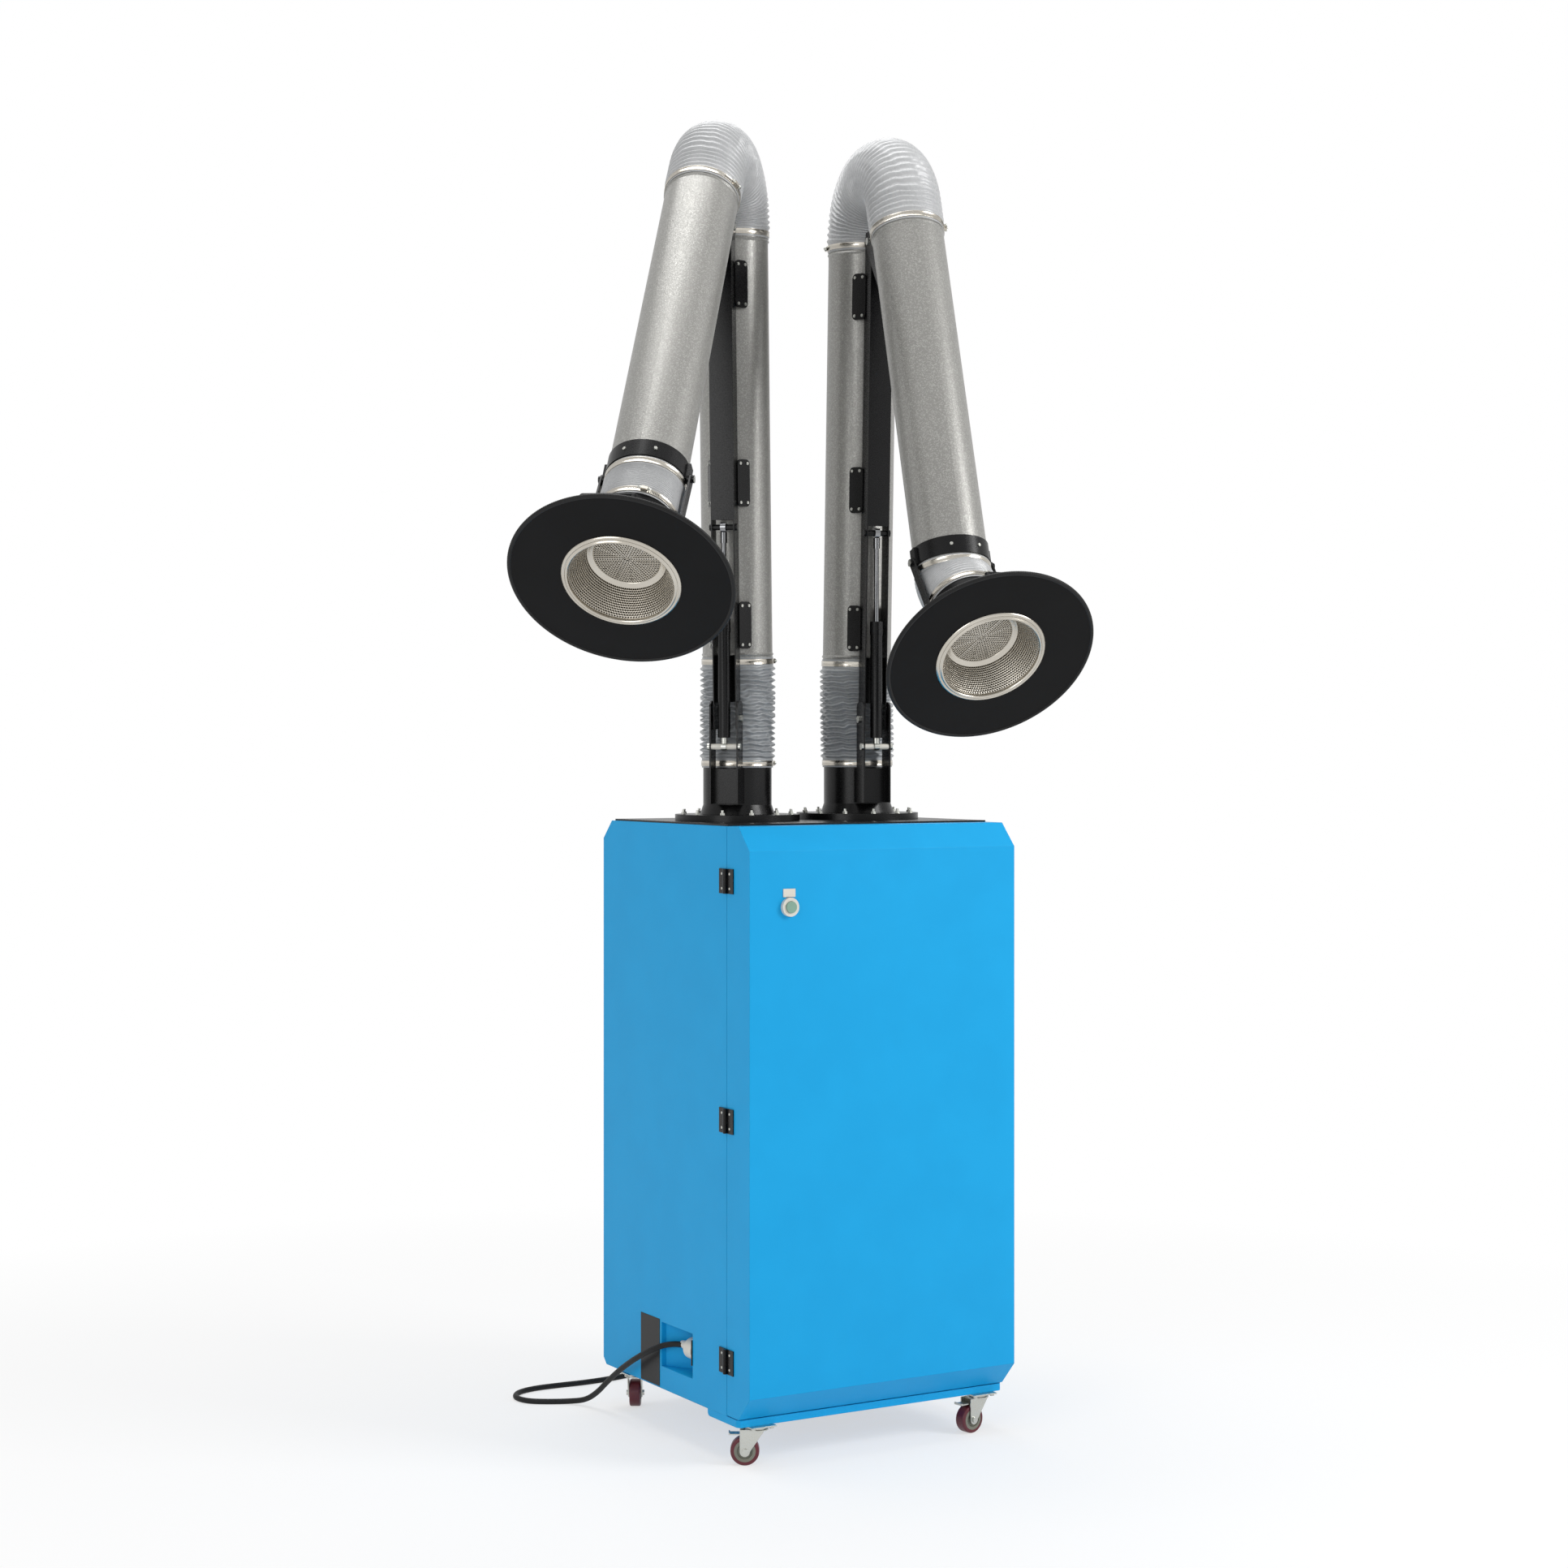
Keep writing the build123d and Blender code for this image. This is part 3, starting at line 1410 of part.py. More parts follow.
def hood_flange():
    """The black hood: neck, throat and wide flat flange with a rolled rim, lugs and a bow handle."""
    face = -hood_reach
    back = face + hood_sheet
    inner = duct_radius - neck_wall
    hood = upright(duct_radius, -neck_below_pin, neck_above_pin)
    hood += cone_between(hood_throat_radius, duct_radius, back, -neck_below_pin)
    hood += upright(hood_radius, face, back)
    hood += Pos(0, 0, back) * Torus(hood_radius - rim_radius, rim_radius)
    lug_outer = wrist_lug_inner + wrist_lug_thickness
    lug = bar_between((0, 0, 0), (0, lug_outer, 0), band_lug_radius)
    lug += block((-band_lug_radius, band_lug_radius), (0, lug_outer), (-lug_pad_height, 0))
    for piece in mirrored(lug):
        hood += piece
    feet = [side * handle_length / 2 for side in (-1, 1)]
    grip_z = back + handle_height
    for y in feet:
        foot = Pos(handle_centre_radius, y, 0)
        hood += foot * upright(handle_bar_radius, back, grip_z)
        hood += foot * upright(handle_foot_radius, back, back + handle_foot_height)
    corner = handle_bar_radius
    for y in feet:
        hood += Pos(handle_centre_radius, y, grip_z) * Sphere(corner)
    hood += bar_between(
        (handle_centre_radius, feet[0], grip_z),
        (handle_centre_radius, feet[1], grip_z),
        handle_bar_radius,
    )
    hood -= upright(inner, -neck_below_pin, neck_above_pin + overrun)
    hood -= cone_between(hood_throat_radius - hood_sheet, inner, back, -neck_below_pin)
    hood -= upright(hood_lip_radius, face - overrun, back)
    hood -= crossbar(0, 0, lug_outer + overrun, wrist_pin_radius + pin_clearance)
    return hood


def hood_basket():
    """The stainless inlet basket: a rolled lip on the flange's face, a tapered wall and an end disc."""
    face = -hood_reach
    mouth = face - basket_lip_height
    end = face + basket_depth
    wall = cone_between(basket_mouth_radius, basket_end_radius, face, end)
    wall += upright(basket_mouth_radius, mouth, face)
    lip = cone_between(basket_mouth_radius + hood_sheet, basket_lip_radius, mouth, face)
    basket = wall + lip
    basket -= cone_between(
        basket_mouth_radius - basket_wall,
        basket_end_radius - basket_wall,
        face,
        end - basket_wall,
    )
    basket -= upright(basket_mouth_radius - basket_wall, mouth - overrun, face)
    return basket


def arm_frames(side):
    """The place of each moving piece of one arm, each in the frame of the one before."""
    pose = arm_pose[side]
    away = -1 if side == "left" else 1
    swivel = Pos(away * arm_half_spacing, arm_behind_middle, 0) * Rot(0, 0, pose["swivel"])
    shoulder = swivel * Pos(shoulder_out, 0, shoulder_z)
    lower = shoulder * Rot(0, pose["lean"], 0)
    upper = lower * Pos(elbow_ahead, 0, elbow_up) * Rot(0, -pose["droop"] - pose["lean"], 0)
    pins_z = -upper_bead - upper_length - wrist_pin_below
    band = upper * Pos(upper_axis_out, 0, pins_z) * Rot(0, 0, pose["turn"])
    bars = band * Rot(0, -pose["bars"], 0)
    hood = bars * Pos(0, 0, -bar_length) * Rot(0, -pose["hood"], 0)
    tilt, length = spring_line(radians(pose["lean"]))
    spring = shoulder * Pos(spring_foot[0], 0, spring_foot[1]) * Rot(0, degrees(tilt), 0)
    return {
        "swivel": swivel,
        "shoulder": shoulder,
        "lower": lower,
        "upper": upper,
        "band": band,
        "bars": bars,
        "hood": hood,
        "spring": spring,
        "spring_length": length,
    }


def at(frame, x, z):
    """A point of an arm's middle plane, given in one of its frames."""
    return (frame * Pos(x, 0, z)).position


def along(frame):
    """The upward direction of a frame."""
    return Plane(frame).z_dir


def across(frame):
    """The sideways direction of a frame, the axis of its pins."""
    return Plane(frame).y_dir


def cuffed_path(first, out_first, last, out_last):
    """A hose's centre line: a straight cuff at each end and a smooth curve between them."""
    bend_first = first + out_first * hose_cuff
    bend_last = last + out_last * hose_cuff
    bend = Spline(bend_first, bend_last, tangents=(out_first, -out_last))
    return Wire([Line(first, bend_first), bend, Line(bend_last, last)])


def lower_hose(frames):
    """The compressed hose between the collar and the lower duct."""
    first = at(frames["swivel"], 0, collar_top_z - hose_cuff)
    last = at(frames["lower"], -tube_behind_pin, lower_bead_low - bead_width / 2 - hose_stop)
    path = cuffed_path(first, along(frames["swivel"]), last, -along(frames["lower"]))
    return ribbed_hose(path, across(frames["swivel"]), lower_hose_ribs)


def elbow_hose(frames):
    """The hose that arches over the elbow from the lower duct to the upper duct."""
    first = at(frames["lower"], -tube_behind_pin, lower_bead_high + bead_width / 2 + hose_stop)
    last = at(frames["upper"], upper_axis_out, -upper_bead + bead_width / 2 + hose_stop)
    up_first = along(frames["lower"])
    up_last = along(frames["upper"])
    turn = pi - radians(up_first.get_angle(up_last))
    gap = last - first
    between = acos(max(-1.0, min(1.0, up_first.dot(up_last))))
    run_first = (gap.dot(up_first) - gap.dot(up_last) * cos(between)) / sin(between) ** 2
    run_last = -(gap.dot(up_last) - gap.dot(up_first) * cos(between)) / sin(between) ** 2
    shorter = min(run_first, run_last)
    bend = (shorter - hose_cuff) / tan(turn / 2)
    arc_first = first + up_first * (run_first - bend * tan(turn / 2))
    arc_last = last + up_last * (run_last - bend * tan(turn / 2))
    arc = TangentArc(arc_first, arc_last, tangent=up_first)
    path = Wire([Line(first, arc_first), arc, Line(arc_last, last)])
    return ribbed_hose(path, across(frames["lower"]), elbow_hose_ribs)


def hood_hose(frames):
    """The short bent hose between the upper duct and the hood's neck."""
    first = at(frames["band"], 0, wrist_pin_below - band_height - hose_stop)
    last = at(frames["hood"], 0, neck_above_pin - hose_cuff)
    path = cuffed_path(first, -along(frames["band"]), last, along(frames["hood"]))
    return ribbed_hose(path, across(frames["band"]), hood_hose_ribs)


def add_arm(side):
    """All the nodes of one arm."""
    frames = arm_frames(side)
    parts[f"{side}_swivel_collar"] = frames["swivel"] * swivel_collar()
    parts[f"{side}_lower_hose"] = lower_hose(frames)
    parts[f"{side}_lower_tube"] = frames["lower"] * lower_tube()
    parts[f"{side}_arm_channel"] = frames["lower"] * arm_channel()
    parts[f"{side}_gas_cylinder"] = frames["spring"] * gas_cylinder()
    parts[f"{side}_gas_rod"] = frames["spring"] * gas_rod(frames["spring_length"])
    parts[f"{side}_elbow_hose"] = elbow_hose(frames)
    parts[f"{side}_upper_tube"] = frames["upper"] * upper_tube()
    parts[f"{side}_elbow_bracket"] = frames["upper"] * elbow_bracket()
    parts[f"{side}_wrist_band"] = frames["band"] * wrist_band()
    parts[f"{side}_wrist_bars"] = frames["bars"] * wrist_bars()
    parts[f"{side}_hood_hose"] = hood_hose(frames)
    parts[f"{side}_hood_flange"] = frames["hood"] * hood_flange()
    parts[f"{side}_hood_basket"] = frames["hood"] * hood_basket()


def castor_frames():
    """The place of each castor: its swivel axis, turned to the way that it trails."""
    places = {}
    for name, heading in castor_headings.items():
        x = castor_x if name.endswith("right") else -castor_x
        y = -castor_front if name.startswith("front") else castor_rear
        places[name] = Pos(x, y, 0) * Rot(0, 0, heading)
    return places


def add_castors():
    """The four castors: fixed plates, forks, wheels and the front pair's brake pedals."""
    fixed = []
    for name, place in castor_frames().items():
        braked = name.startswith("front")
        fixed.append(Pos(place.position) * castor_fixed())
        parts[f"{name}_castor_fork"] = place * castor_fork(braked)
        parts[f"{name}_castor_wheel"] = place * castor_wheel()
        if braked:
            parts[f"{name}_brake_pedal"] = place * brake_pedal()
    parts["castor_plates"] = group(*fixed)


def build():
    """Every node, in the frame of the cabinet."""
    frame_leaves, door_leaves = hinge_pieces()
    bezel, label, cap = button_pieces()
    parts["cabinet_shell"] = cabinet_shell()
    parts["lock_striker"] = lock_striker()
    parts["base_frame"] = base_frame()
    parts["top_plate"] = top_plate()
    parts["turntables"] = group(turntable(-1), turntable(1))
    parts["hinge_frame_leaves"] = frame_leaves
    parts["filter_plate"] = filter_plate()
    parts["filter_cartridges"] = filter_cartridges()
    parts["dust_tray"] = dust_tray()
    parts["fan_housing"] = fan_housing()
    parts["fan_motor"] = fan_motor()
    parts["fan_impeller"] = fan_impeller()
    parts["door_panel"] = door_panel()
    parts["door_fittings"] = group(*door_leaves, bezel, label, lock_housing())
    parts["button_cap"] = cap
    parts["door_lock"] = door_lock()
    mains_cord()
    add_castors()
    for side in arm_pose:
        add_arm(side)


cord_nodes = ("inlet_plug", "power_cord", "cord_coil", "mains_plug")
build()
bare = group(*[part for name, part in parts.items() if name not in cord_nodes])
box = bare.bounding_box()
origin_shift = Vector(-(box.min.X + box.max.X) / 2, -(box.min.Y + box.max.Y) / 2, -box.min.Z)
print("moved by", tuple(round(value, 3) for value in origin_shift))
print("size without the cord", tuple(round(value, 1) for value in box.size))

os.makedirs("parts", exist_ok=True)
for name, part in parts.items():
    export_step(part.moved(Location(origin_shift)), f"parts/{name}.step")
print("nodes written:", len(parts))
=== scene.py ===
# %% [markdown]
# # A mobile welding fume extractor with two arms
# The object is a folded-steel cabinet on castors, with two balanced arms that carry ribbed hoses
# and round hoods. The imported solid model is loaded first and never moves: every new piece is made
# in the same metres and either joins a solid or stands for it, and all but the hoses ride on one of
# its bodies.

# %% Load the imported model
import json
from math import acos, cos, hypot, pi, radians, sin, tan

import bmesh
import bpy
import numpy as np
from mathutils import Matrix, Vector


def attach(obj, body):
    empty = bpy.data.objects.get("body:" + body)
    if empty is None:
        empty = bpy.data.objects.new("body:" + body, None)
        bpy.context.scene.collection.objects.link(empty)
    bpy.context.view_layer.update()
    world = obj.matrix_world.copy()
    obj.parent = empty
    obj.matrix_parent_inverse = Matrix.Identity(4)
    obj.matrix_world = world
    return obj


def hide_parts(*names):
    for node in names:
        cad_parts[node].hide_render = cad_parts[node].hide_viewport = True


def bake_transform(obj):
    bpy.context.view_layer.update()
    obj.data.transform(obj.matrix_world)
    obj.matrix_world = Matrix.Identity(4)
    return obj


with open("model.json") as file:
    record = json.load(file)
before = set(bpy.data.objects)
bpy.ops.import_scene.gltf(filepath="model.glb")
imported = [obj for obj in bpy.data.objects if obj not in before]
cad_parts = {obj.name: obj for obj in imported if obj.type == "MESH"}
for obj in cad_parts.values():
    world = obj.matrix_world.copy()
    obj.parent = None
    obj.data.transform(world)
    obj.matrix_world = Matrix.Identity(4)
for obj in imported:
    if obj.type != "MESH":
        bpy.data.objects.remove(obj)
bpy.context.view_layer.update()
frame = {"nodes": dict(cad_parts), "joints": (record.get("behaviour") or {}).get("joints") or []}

# %% [markdown]
# The solid model was drawn in millimetres about the middle of the cabinet and then moved, so that
# its origin lies under the middle of its box. Two small functions take a length or a point of that
# drawing to this scene, and a third puts an object into it.

# %% Millimetres to the scene
ORIGIN_SHIFT = Vector((0.342047, 0.329138, 0.0))


def mm(length):
    """A length in millimetres, in metres."""
    return length / 1000


def place(x, y, z):
    """A point of the drawing, in millimetres, where it is in the scene."""
    return Vector((mm(x), mm(y), mm(z))) + ORIGIN_SHIFT


def shown(name, data):
    """An object with that data, linked to the scene."""
    thing = bpy.data.objects.new(name, data)
    bpy.context.scene.collection.objects.link(thing)
    return thing


print("middle of the cabinet's foot", tuple(round(value, 3) for value in place(0, 0, 0)))

# %% [markdown]
# The photograph was taken with a level camera, a little to the left of the front and at chest
# height above the plinth. The lens and the place were worked out from points of the object that
# can be measured in the picture, so the camera is exact rather than set by eye. A level camera
# keeps the tall uprights parallel; the small vertical shift puts the horizon where it was.

# %% Camera
CAMERA_PLACE = (-2.879253, -5.083162, 1.5551)
CAMERA_TURN = 30.55
LENS = 62.08
HORIZON_SHIFT = -0.0233

camera_data = bpy.data.cameras.new("studio_camera")
camera_data.lens = LENS
camera_data.sensor_width = 36.0
camera_data.shift_y = HORIZON_SHIFT
camera = shown("studio_camera", camera_data)
camera.location = CAMERA_PLACE
camera.rotation_euler = (pi / 2, 0.0, -radians(CAMERA_TURN))
bpy.context.scene.camera = camera
print("camera", CAMERA_PLACE, "lens", LENS)

# %% [markdown]
# Colours are written as the sRGB hex values that a designer would read off a picture. A shader
# works in linear light, so one function turns the one into the other.

# %% Colour and node helpers
KNEE = 0.04045
TOE_SLOPE = 12.92
OFFSET = 0.055
GAMMA = 2.4


def linear(hex_colour):
    """An sRGB hex colour as the linear colour that a shader takes."""
    channels = []
    for start in (1, 3, 5):
        value = int(hex_colour[start:start + 2], 16) / 255
        low = value <= KNEE
        channels.append(value / TOE_SLOPE if low else ((value + OFFSET) / (1 + OFFSET)) ** GAMMA)
    return (*channels, 1.0)


def add_node(tree, kind, inputs=None, **settings):
    """Adds one shader node. Settings are its properties; an input is a value or a socket."""
    node = tree.nodes.new(f"ShaderNode{kind}")
    for key, value in settings.items():
        setattr(node, key, value)
    for key, value in (inputs or {}).items():
        if isinstance(value, bpy.types.NodeSocket):
            tree.links.new(value, node.inputs[key])
        else:
            node.inputs[key].default_value = value
    return node


def principled(tree, inputs):
    """Ends a material with the general shader."""
    skin = add_node(tree, "BsdfPrincipled", inputs)
    add_node(tree, "OutputMaterial", {"Surface": skin.outputs["BSDF"]})


def new_material(name):
    """An empty node material."""
    material = bpy.data.materials.new(name)
    material.use_nodes = True
    material.node_tree.nodes.clear()
    return material, material.node_tree


print("linear mid blue", [round(value, 3) for value in linear("#1C8FD6")])

# %% [markdown]
# Most finishes of this machine share one build-up: a colour that drifts a little between two
# tones, a roughness that drifts with it, and a fine relief in the surface. What makes each one
# itself is the scale and the depth of the relief, so those are given in millimetres. A rounded
# edge in the shading stands for the small radius that folding and paint give to sheet steel.

# %% The build-up that the finishes share
DRIFT_SIZE = 120.0             # how far apart the tones of a large surface drift, mm
TONE_LOW = 0.35
TONE_HIGH = 0.65
DRIFT_DETAIL = 2.0
FINE_DETAIL = 3.0


def object_point(tree):
    """The place on the piece in metres."""
    return add_node(tree, "TexCoord").outputs["Object"]


def cloud(tree, point, size, detail=DRIFT_DETAIL):
    """Soft noise whose patches are about that many millimetres across."""
    noise = add_node(
        tree, "TexNoise", {"Vector": point, "Scale": 1000 / size, "Detail": detail}
    )
    return noise.outputs["Fac"]


def between(tree, share, low, high, start=TONE_LOW, end=TONE_HIGH):
    """Spreads a share over the numbers from low to high."""
    spread = add_node(
        tree,
        "MapRange",
        {"Value": share, "From Min": start, "From Max": end, "To Min": low, "To Max": high},
    )
    return spread.outputs["Result"]


def tones(tree, share, dark, light):
    """A colour between two tones, by a share."""
    mix = add_node(tree, "Mix", {"Factor": share}, data_type="RGBA")
    for socket, colour in zip([s for s in mix.inputs if s.type == "RGBA"], (dark, light)):
        if isinstance(colour, bpy.types.NodeSocket):
            tree.links.new(colour, socket)
        else:
            socket.default_value = linear(colour)
    return [s for s in mix.outputs if s.type == "RGBA"][0]


def coated(name, dark, light, roughness, relief=0.0, grain=1.0, edge=0.0, **shader):
    """A surface with two tones, a range of roughness, and a relief and grain size in mm."""
    material, tree = new_material(name)
    point = object_point(tree)
    drift = cloud(tree, point, DRIFT_SIZE)
    fine = cloud(tree, point, grain, FINE_DETAIL)
    colour = tones(tree, between(tree, drift, 0, 1), dark, light)
    inputs = {
        "Base Color": colour,
        "Roughness": between(tree, fine, roughness[0], roughness[1]),
        **shader,
    }
    bump_inputs = {"Height": fine, "Distance": mm(relief), "Strength": 1.0}
    if edge:
        rounded = add_node(tree, "Bevel", {"Radius": mm(edge)}, samples=4)
        bump_inputs["Normal"] = rounded.outputs["Normal"]
    bump = add_node(tree, "Bump", bump_inputs)
    inputs["Normal"] = bump.outputs["Normal"]
    principled(tree, inputs)
    return material


# %% [markdown]
# ## Finishes
# **Blue cabinet.** Folded steel, electrostatically powder-coated in a satin polyester. Cured
# powder flows out into a very fine orange peel, about 2 mm from crest to crest, which breaks up
# reflections without hiding them. **Black parts** are the same process in black, a little glossier.

# %% Powder coats
SPECULAR = "Specular IOR Level"

blue_powder_coat = coated(
    "blue_powder_coated_steel", "#10A2DF", "#12A5E2", (0.40, 0.48),
    relief=0.04, grain=2.2, edge=1.6, **{SPECULAR: 0.2},
)
black_powder_coat = coated(
    "black_powder_coated_steel", "#09090A", "#0D0D0E", (0.22, 0.32),
    relief=0.06, grain=2.0, edge=0.8, **{SPECULAR: 0.26},
)
black_hood_enamel = coated(
    "black_satin_hood_enamel", "#070708", "#0A0A0B", (0.38, 0.48),
    relief=0.05, grain=1.6, edge=0.6, **{SPECULAR: 0.12},
)
print("powder coats", blue_powder_coat.name, black_powder_coat.name)

# %% [markdown]
# **Ducts.** Hammertone enamel: aluminium flakes in a paint that draws itself into small dimples
# while it dries. The flakes lie at slightly different angles, so the highlight breaks up into
# glitter. Real cells are 1.5 to 3 mm across. They are at the coarse end here, so that they show
# in a picture of the whole machine.

# %% Hammertone enamel
HAMMER_CELL = 2.8
FLAKE_CELL = 2.0
HAMMER_RELIEF = 0.17
DIMPLE_STRENGTH = 0.9
GLITTER_START = 0.55           # share of the flakes that stay as dull as the paint
FLAKE_METAL = (0.25, 0.6, 0.2, 0.8)
FLAKE_ROUGHNESS = (0.28, 0.42, 0.0, 1.0)

hammertone, tree = new_material("grey_hammertone_enamel")
point = object_point(tree)
cells = add_node(tree, "TexVoronoi", {"Vector": point, "Scale": 1000 / HAMMER_CELL})
flakes = add_node(tree, "TexVoronoi", {"Vector": point, "Scale": 1000 / FLAKE_CELL})
flake_tone = add_node(tree, "SeparateColor", {"Color": flakes.outputs["Color"]})
drift = between(tree, cloud(tree, point, DRIFT_SIZE), 0, 1)
paint = tones(tree, drift, "#92918D", "#959490")
shine = between(tree, flake_tone.outputs["Red"], 0, 1, GLITTER_START, 1.0)
glitter = tones(tree, shine, paint, "#AEADA9")
dimple = add_node(
    tree,
    "Bump",
    {"Height": cells.outputs["Distance"], "Distance": mm(HAMMER_RELIEF),
     "Strength": DIMPLE_STRENGTH},
)
principled(
    tree,
    {
        "Base Color": glitter,
        "Metallic": between(tree, flake_tone.outputs["Green"], *FLAKE_METAL),
        "Roughness": between(tree, flake_tone.outputs["Blue"], *FLAKE_ROUGHNESS),
        "Normal": dimple.outputs["Normal"],
    },
)
print("hammertone cell", HAMMER_CELL, "mm")

# %% [markdown]
# ** Hoses.** PVC-coated polyester cloth, welded round a spring-steel wire. The coating is smooth
# and a little waxy, with small creases where the cloth has been squeezed together. The lower hoses
# have the same cloth painted darker, which is painted shade. **Bare metals** are electropolished
# stainless for the clamps and the hood's basket, and bright zinc plate with a faint yellow cast for
# castors, screws and pins.

# %% Hose cloth and bare metals
WAXY = {"Coat Weight": 0.2, "Coat Roughness": 0.2}

pale_pvc = coated(
    "pale_grey_pvc_coated_cloth", "#B4B5B6", "#BEBFC0", (0.24, 0.36),
    relief=0.25, grain=6.0, **WAXY,
)
# The lower hoses' cloth: a darker copy of the pale hose cloth, which is painted shade.
pvc_cloth_with_painted_shade = coated(
    "pvc_coated_cloth_with_painted_shade", "#94979A", "#A3A6A8", (0.26, 0.4),
    relief=0.3, grain=6.0, **WAXY,
)
stainless_steel = coated(
    "polished_stainless_steel", "#BFB9AE", "#CDC8BE", (0.16, 0.28),
    relief=0.02, grain=1.2, Metallic=1.0,
)
zinc_plate = coated(
    "bright_zinc_plated_steel", "#BFC0BA", "#CFCFC8", (0.24, 0.36),
    relief=0.03, grain=1.5, edge=0.4, Metallic=1.0,
)
polished_chrome = coated(
    "hard_chromed_rod", "#8E8F91", "#989A9C", (0.07, 0.13), relief=0.0, grain=1.2, Metallic=1.0,
)
print("bare metals", stainless_steel.name, zinc_plate.name)

# %% [markdown]
# **Small finishes.** Castor tyres are cast polyurethane in dark red; their hubs and the mains
# inlet's plug are moulded plastic; the button's lens is a translucent green acrylic cap; seals,
# cord and edge trim are black rubber with a dull bloom.

# %% Plastics and rubbers
red_polyurethane = coated(
    "dark_red_cast_polyurethane", "#5A1A26", "#6C2430", (0.34, 0.46),
    relief=0.05, grain=3.0, edge=0.5,
)
hub_plastic = coated(
    "grey_moulded_nylon_hub", "#77776A", "#868679", (0.38, 0.5), relief=0.03, grain=1.2, edge=0.4,
)
pale_plastic = coated(
    "off_white_moulded_nylon", "#D9D5CB", "#E4E0D7", (0.3, 0.42), relief=0.03, grain=1.2, edge=0.4,
)
green_lens = coated(
    "green_acrylic_lens", "#7B9F8D", "#8BAF9D", (0.08, 0.16),
    relief=0.0, grain=2.0, **{"Coat Weight": 0.4, "Coat Roughness": 0.05},
)
# Black rubber for the cord, seals, plug and trim; the same material is the painted shade in the
# clamp slots.
black_rubber = coated(
    "black_rubber", "#101010", "#161616", (0.5, 0.64), relief=0.05, grain=1.4, edge=0.3,
    **{SPECULAR: 0.3},
)
bare_black_plate = coated(
    "black_anodised_plate", "#0C0C0E", "#111113", (0.3, 0.4), relief=0.01, grain=0.8,
    **{SPECULAR: 0.25},
)
print("plastics", hub_plastic.name, pale_plastic.name)

# %% [markdown]
# **Inside the cabinet.** Galvanised sheet shows zinc crystals called spangle, 8 to 15 mm across,
# as patches of different brightness. Filter cartridges are pleated cellulose paper with a fluffy
# fibre surface. The motor is a sand-cast aluminium body in grey primer.

# %% Galvanised sheet, filter paper and motor casting
SPANGLE = 11.0
SPANGLE_ROUGHNESS = (0.34, 0.52, 0.0, 1.0)

galvanised_sheet, tree = new_material("spangled_galvanised_sheet")
point = object_point(tree)
crystals = add_node(tree, "TexVoronoi", {"Vector": point, "Scale": 1000 / SPANGLE})
crystal_tone = add_node(tree, "SeparateColor", {"Color": crystals.outputs["Color"]})
spangle_colour = tones(tree, crystal_tone.outputs["Red"], "#9EA2A4", "#C2C6C8")
principled(
    tree,
    {
        "Base Color": spangle_colour,
        "Metallic": 1.0,
        "Roughness": between(tree, crystal_tone.outputs["Green"], *SPANGLE_ROUGHNESS),
    },
)
filter_paper = coated(
    "pleated_cellulose_paper", "#D6CFBC", "#E2DCCB", (0.8, 0.95), relief=0.1, grain=0.8,
)
motor_casting = coated(
    "primed_aluminium_casting", "#5C6163", "#6B7072", (0.5, 0.65), relief=0.15, grain=1.5, edge=1.0,
)
print("inner finishes", galvanised_sheet.name, filter_paper.name, motor_casting.name)

# %% [markdown]
# ## Dressing the solids
# Most rigid solids already have the right shape, so they stay and only get a finish. Some of them
# hold pieces of different stuff, such as a tyre on its hub, and there each face takes its finish
# by where its middle lies in a frame of the piece. The mesh itself isn't touched.

# %% A finish for every solid that stays
def dress(node_name, finish, *rules):
    """Gives a solid a finish, and another one to the faces that pass a rule.

    A rule holds the other finish, a frame, and a test of a face's middle, in mm in that frame.
    """
    node = frame["nodes"][node_name]
    mesh = node.data
    mesh.materials.clear()
    mesh.materials.append(finish)
    for other, _, _ in rules:
        mesh.materials.append(other)
    to_local = [matrix.inverted() for _, matrix, _ in rules]
    for face in mesh.polygons:
        face.material_index = 0
        for number, (_, _, test) in enumerate(rules, start=1):
            if test(*(to_local[number - 1] @ face.center * 1000)):
                face.material_index = number
                break


plain_finishes = {
    blue_powder_coat: ("cabinet_shell", "base_frame", "door_panel"),
    black_powder_coat: ("top_plate", "power_inlet"),
    pale_plastic: ("inlet_plug",),
    black_rubber: ("mains_plug",),
    zinc_plate: ("door_lock", "lock_striker", "castor_plates"),
    green_lens: ("button_cap",),
    galvanised_sheet: ("filter_plate", "dust_tray", "fan_housing", "fan_impeller"),
    filter_paper: ("filter_cartridges",),
    motor_casting: ("fan_motor",),
}
for finish, node_names in plain_finishes.items():
    for node_name in node_names:
        dress(node_name, finish)
print("plain finishes", len(plain_finishes))

# %% [markdown]
# ## The arms' frames
# Each arm is a chain: a swivel on the turntable, a lower arm on the shoulder pin, an upper arm on
# the elbow pin, a wrist band that turns on the duct, two flat bars, and the hood. The chain is
# written once as matrices, with the angles at which the photographed arms stand, so that hoses,
# clamps and trim can be placed by sizes along each piece.

# %% Chain of frames for each arm
TOP_OF_BODY = 1384.0
ARM_AWAY = 162.0               # swivel axes to each side of the middle
ARM_BACK = -19.0
SHOULDER_OUT = 108.0
SHOULDER_Z = TOP_OF_BODY + 236.0
HOSE_STOP = 2.0
CUFF = 20.0
COLLAR_TOP = TOP_OF_BODY + 123.0 + HOSE_STOP + CUFF
TUBE_BEHIND_PIN = 117.0
ELBOW = (9.1, 1096.6)
UPPER_AXIS_OUT = 154.0
UPPER_BEAD = 76.8
UPPER_LENGTH = 757.7
WRIST_PIN_BELOW = 35.0
BAND_HEIGHT = 40.0
BAR_LENGTH = 135.0
NECK_ABOVE_PIN = 33.0
LOWER_BEADS = (142.7, 1079.7)
BEAD_HALF = 4.0
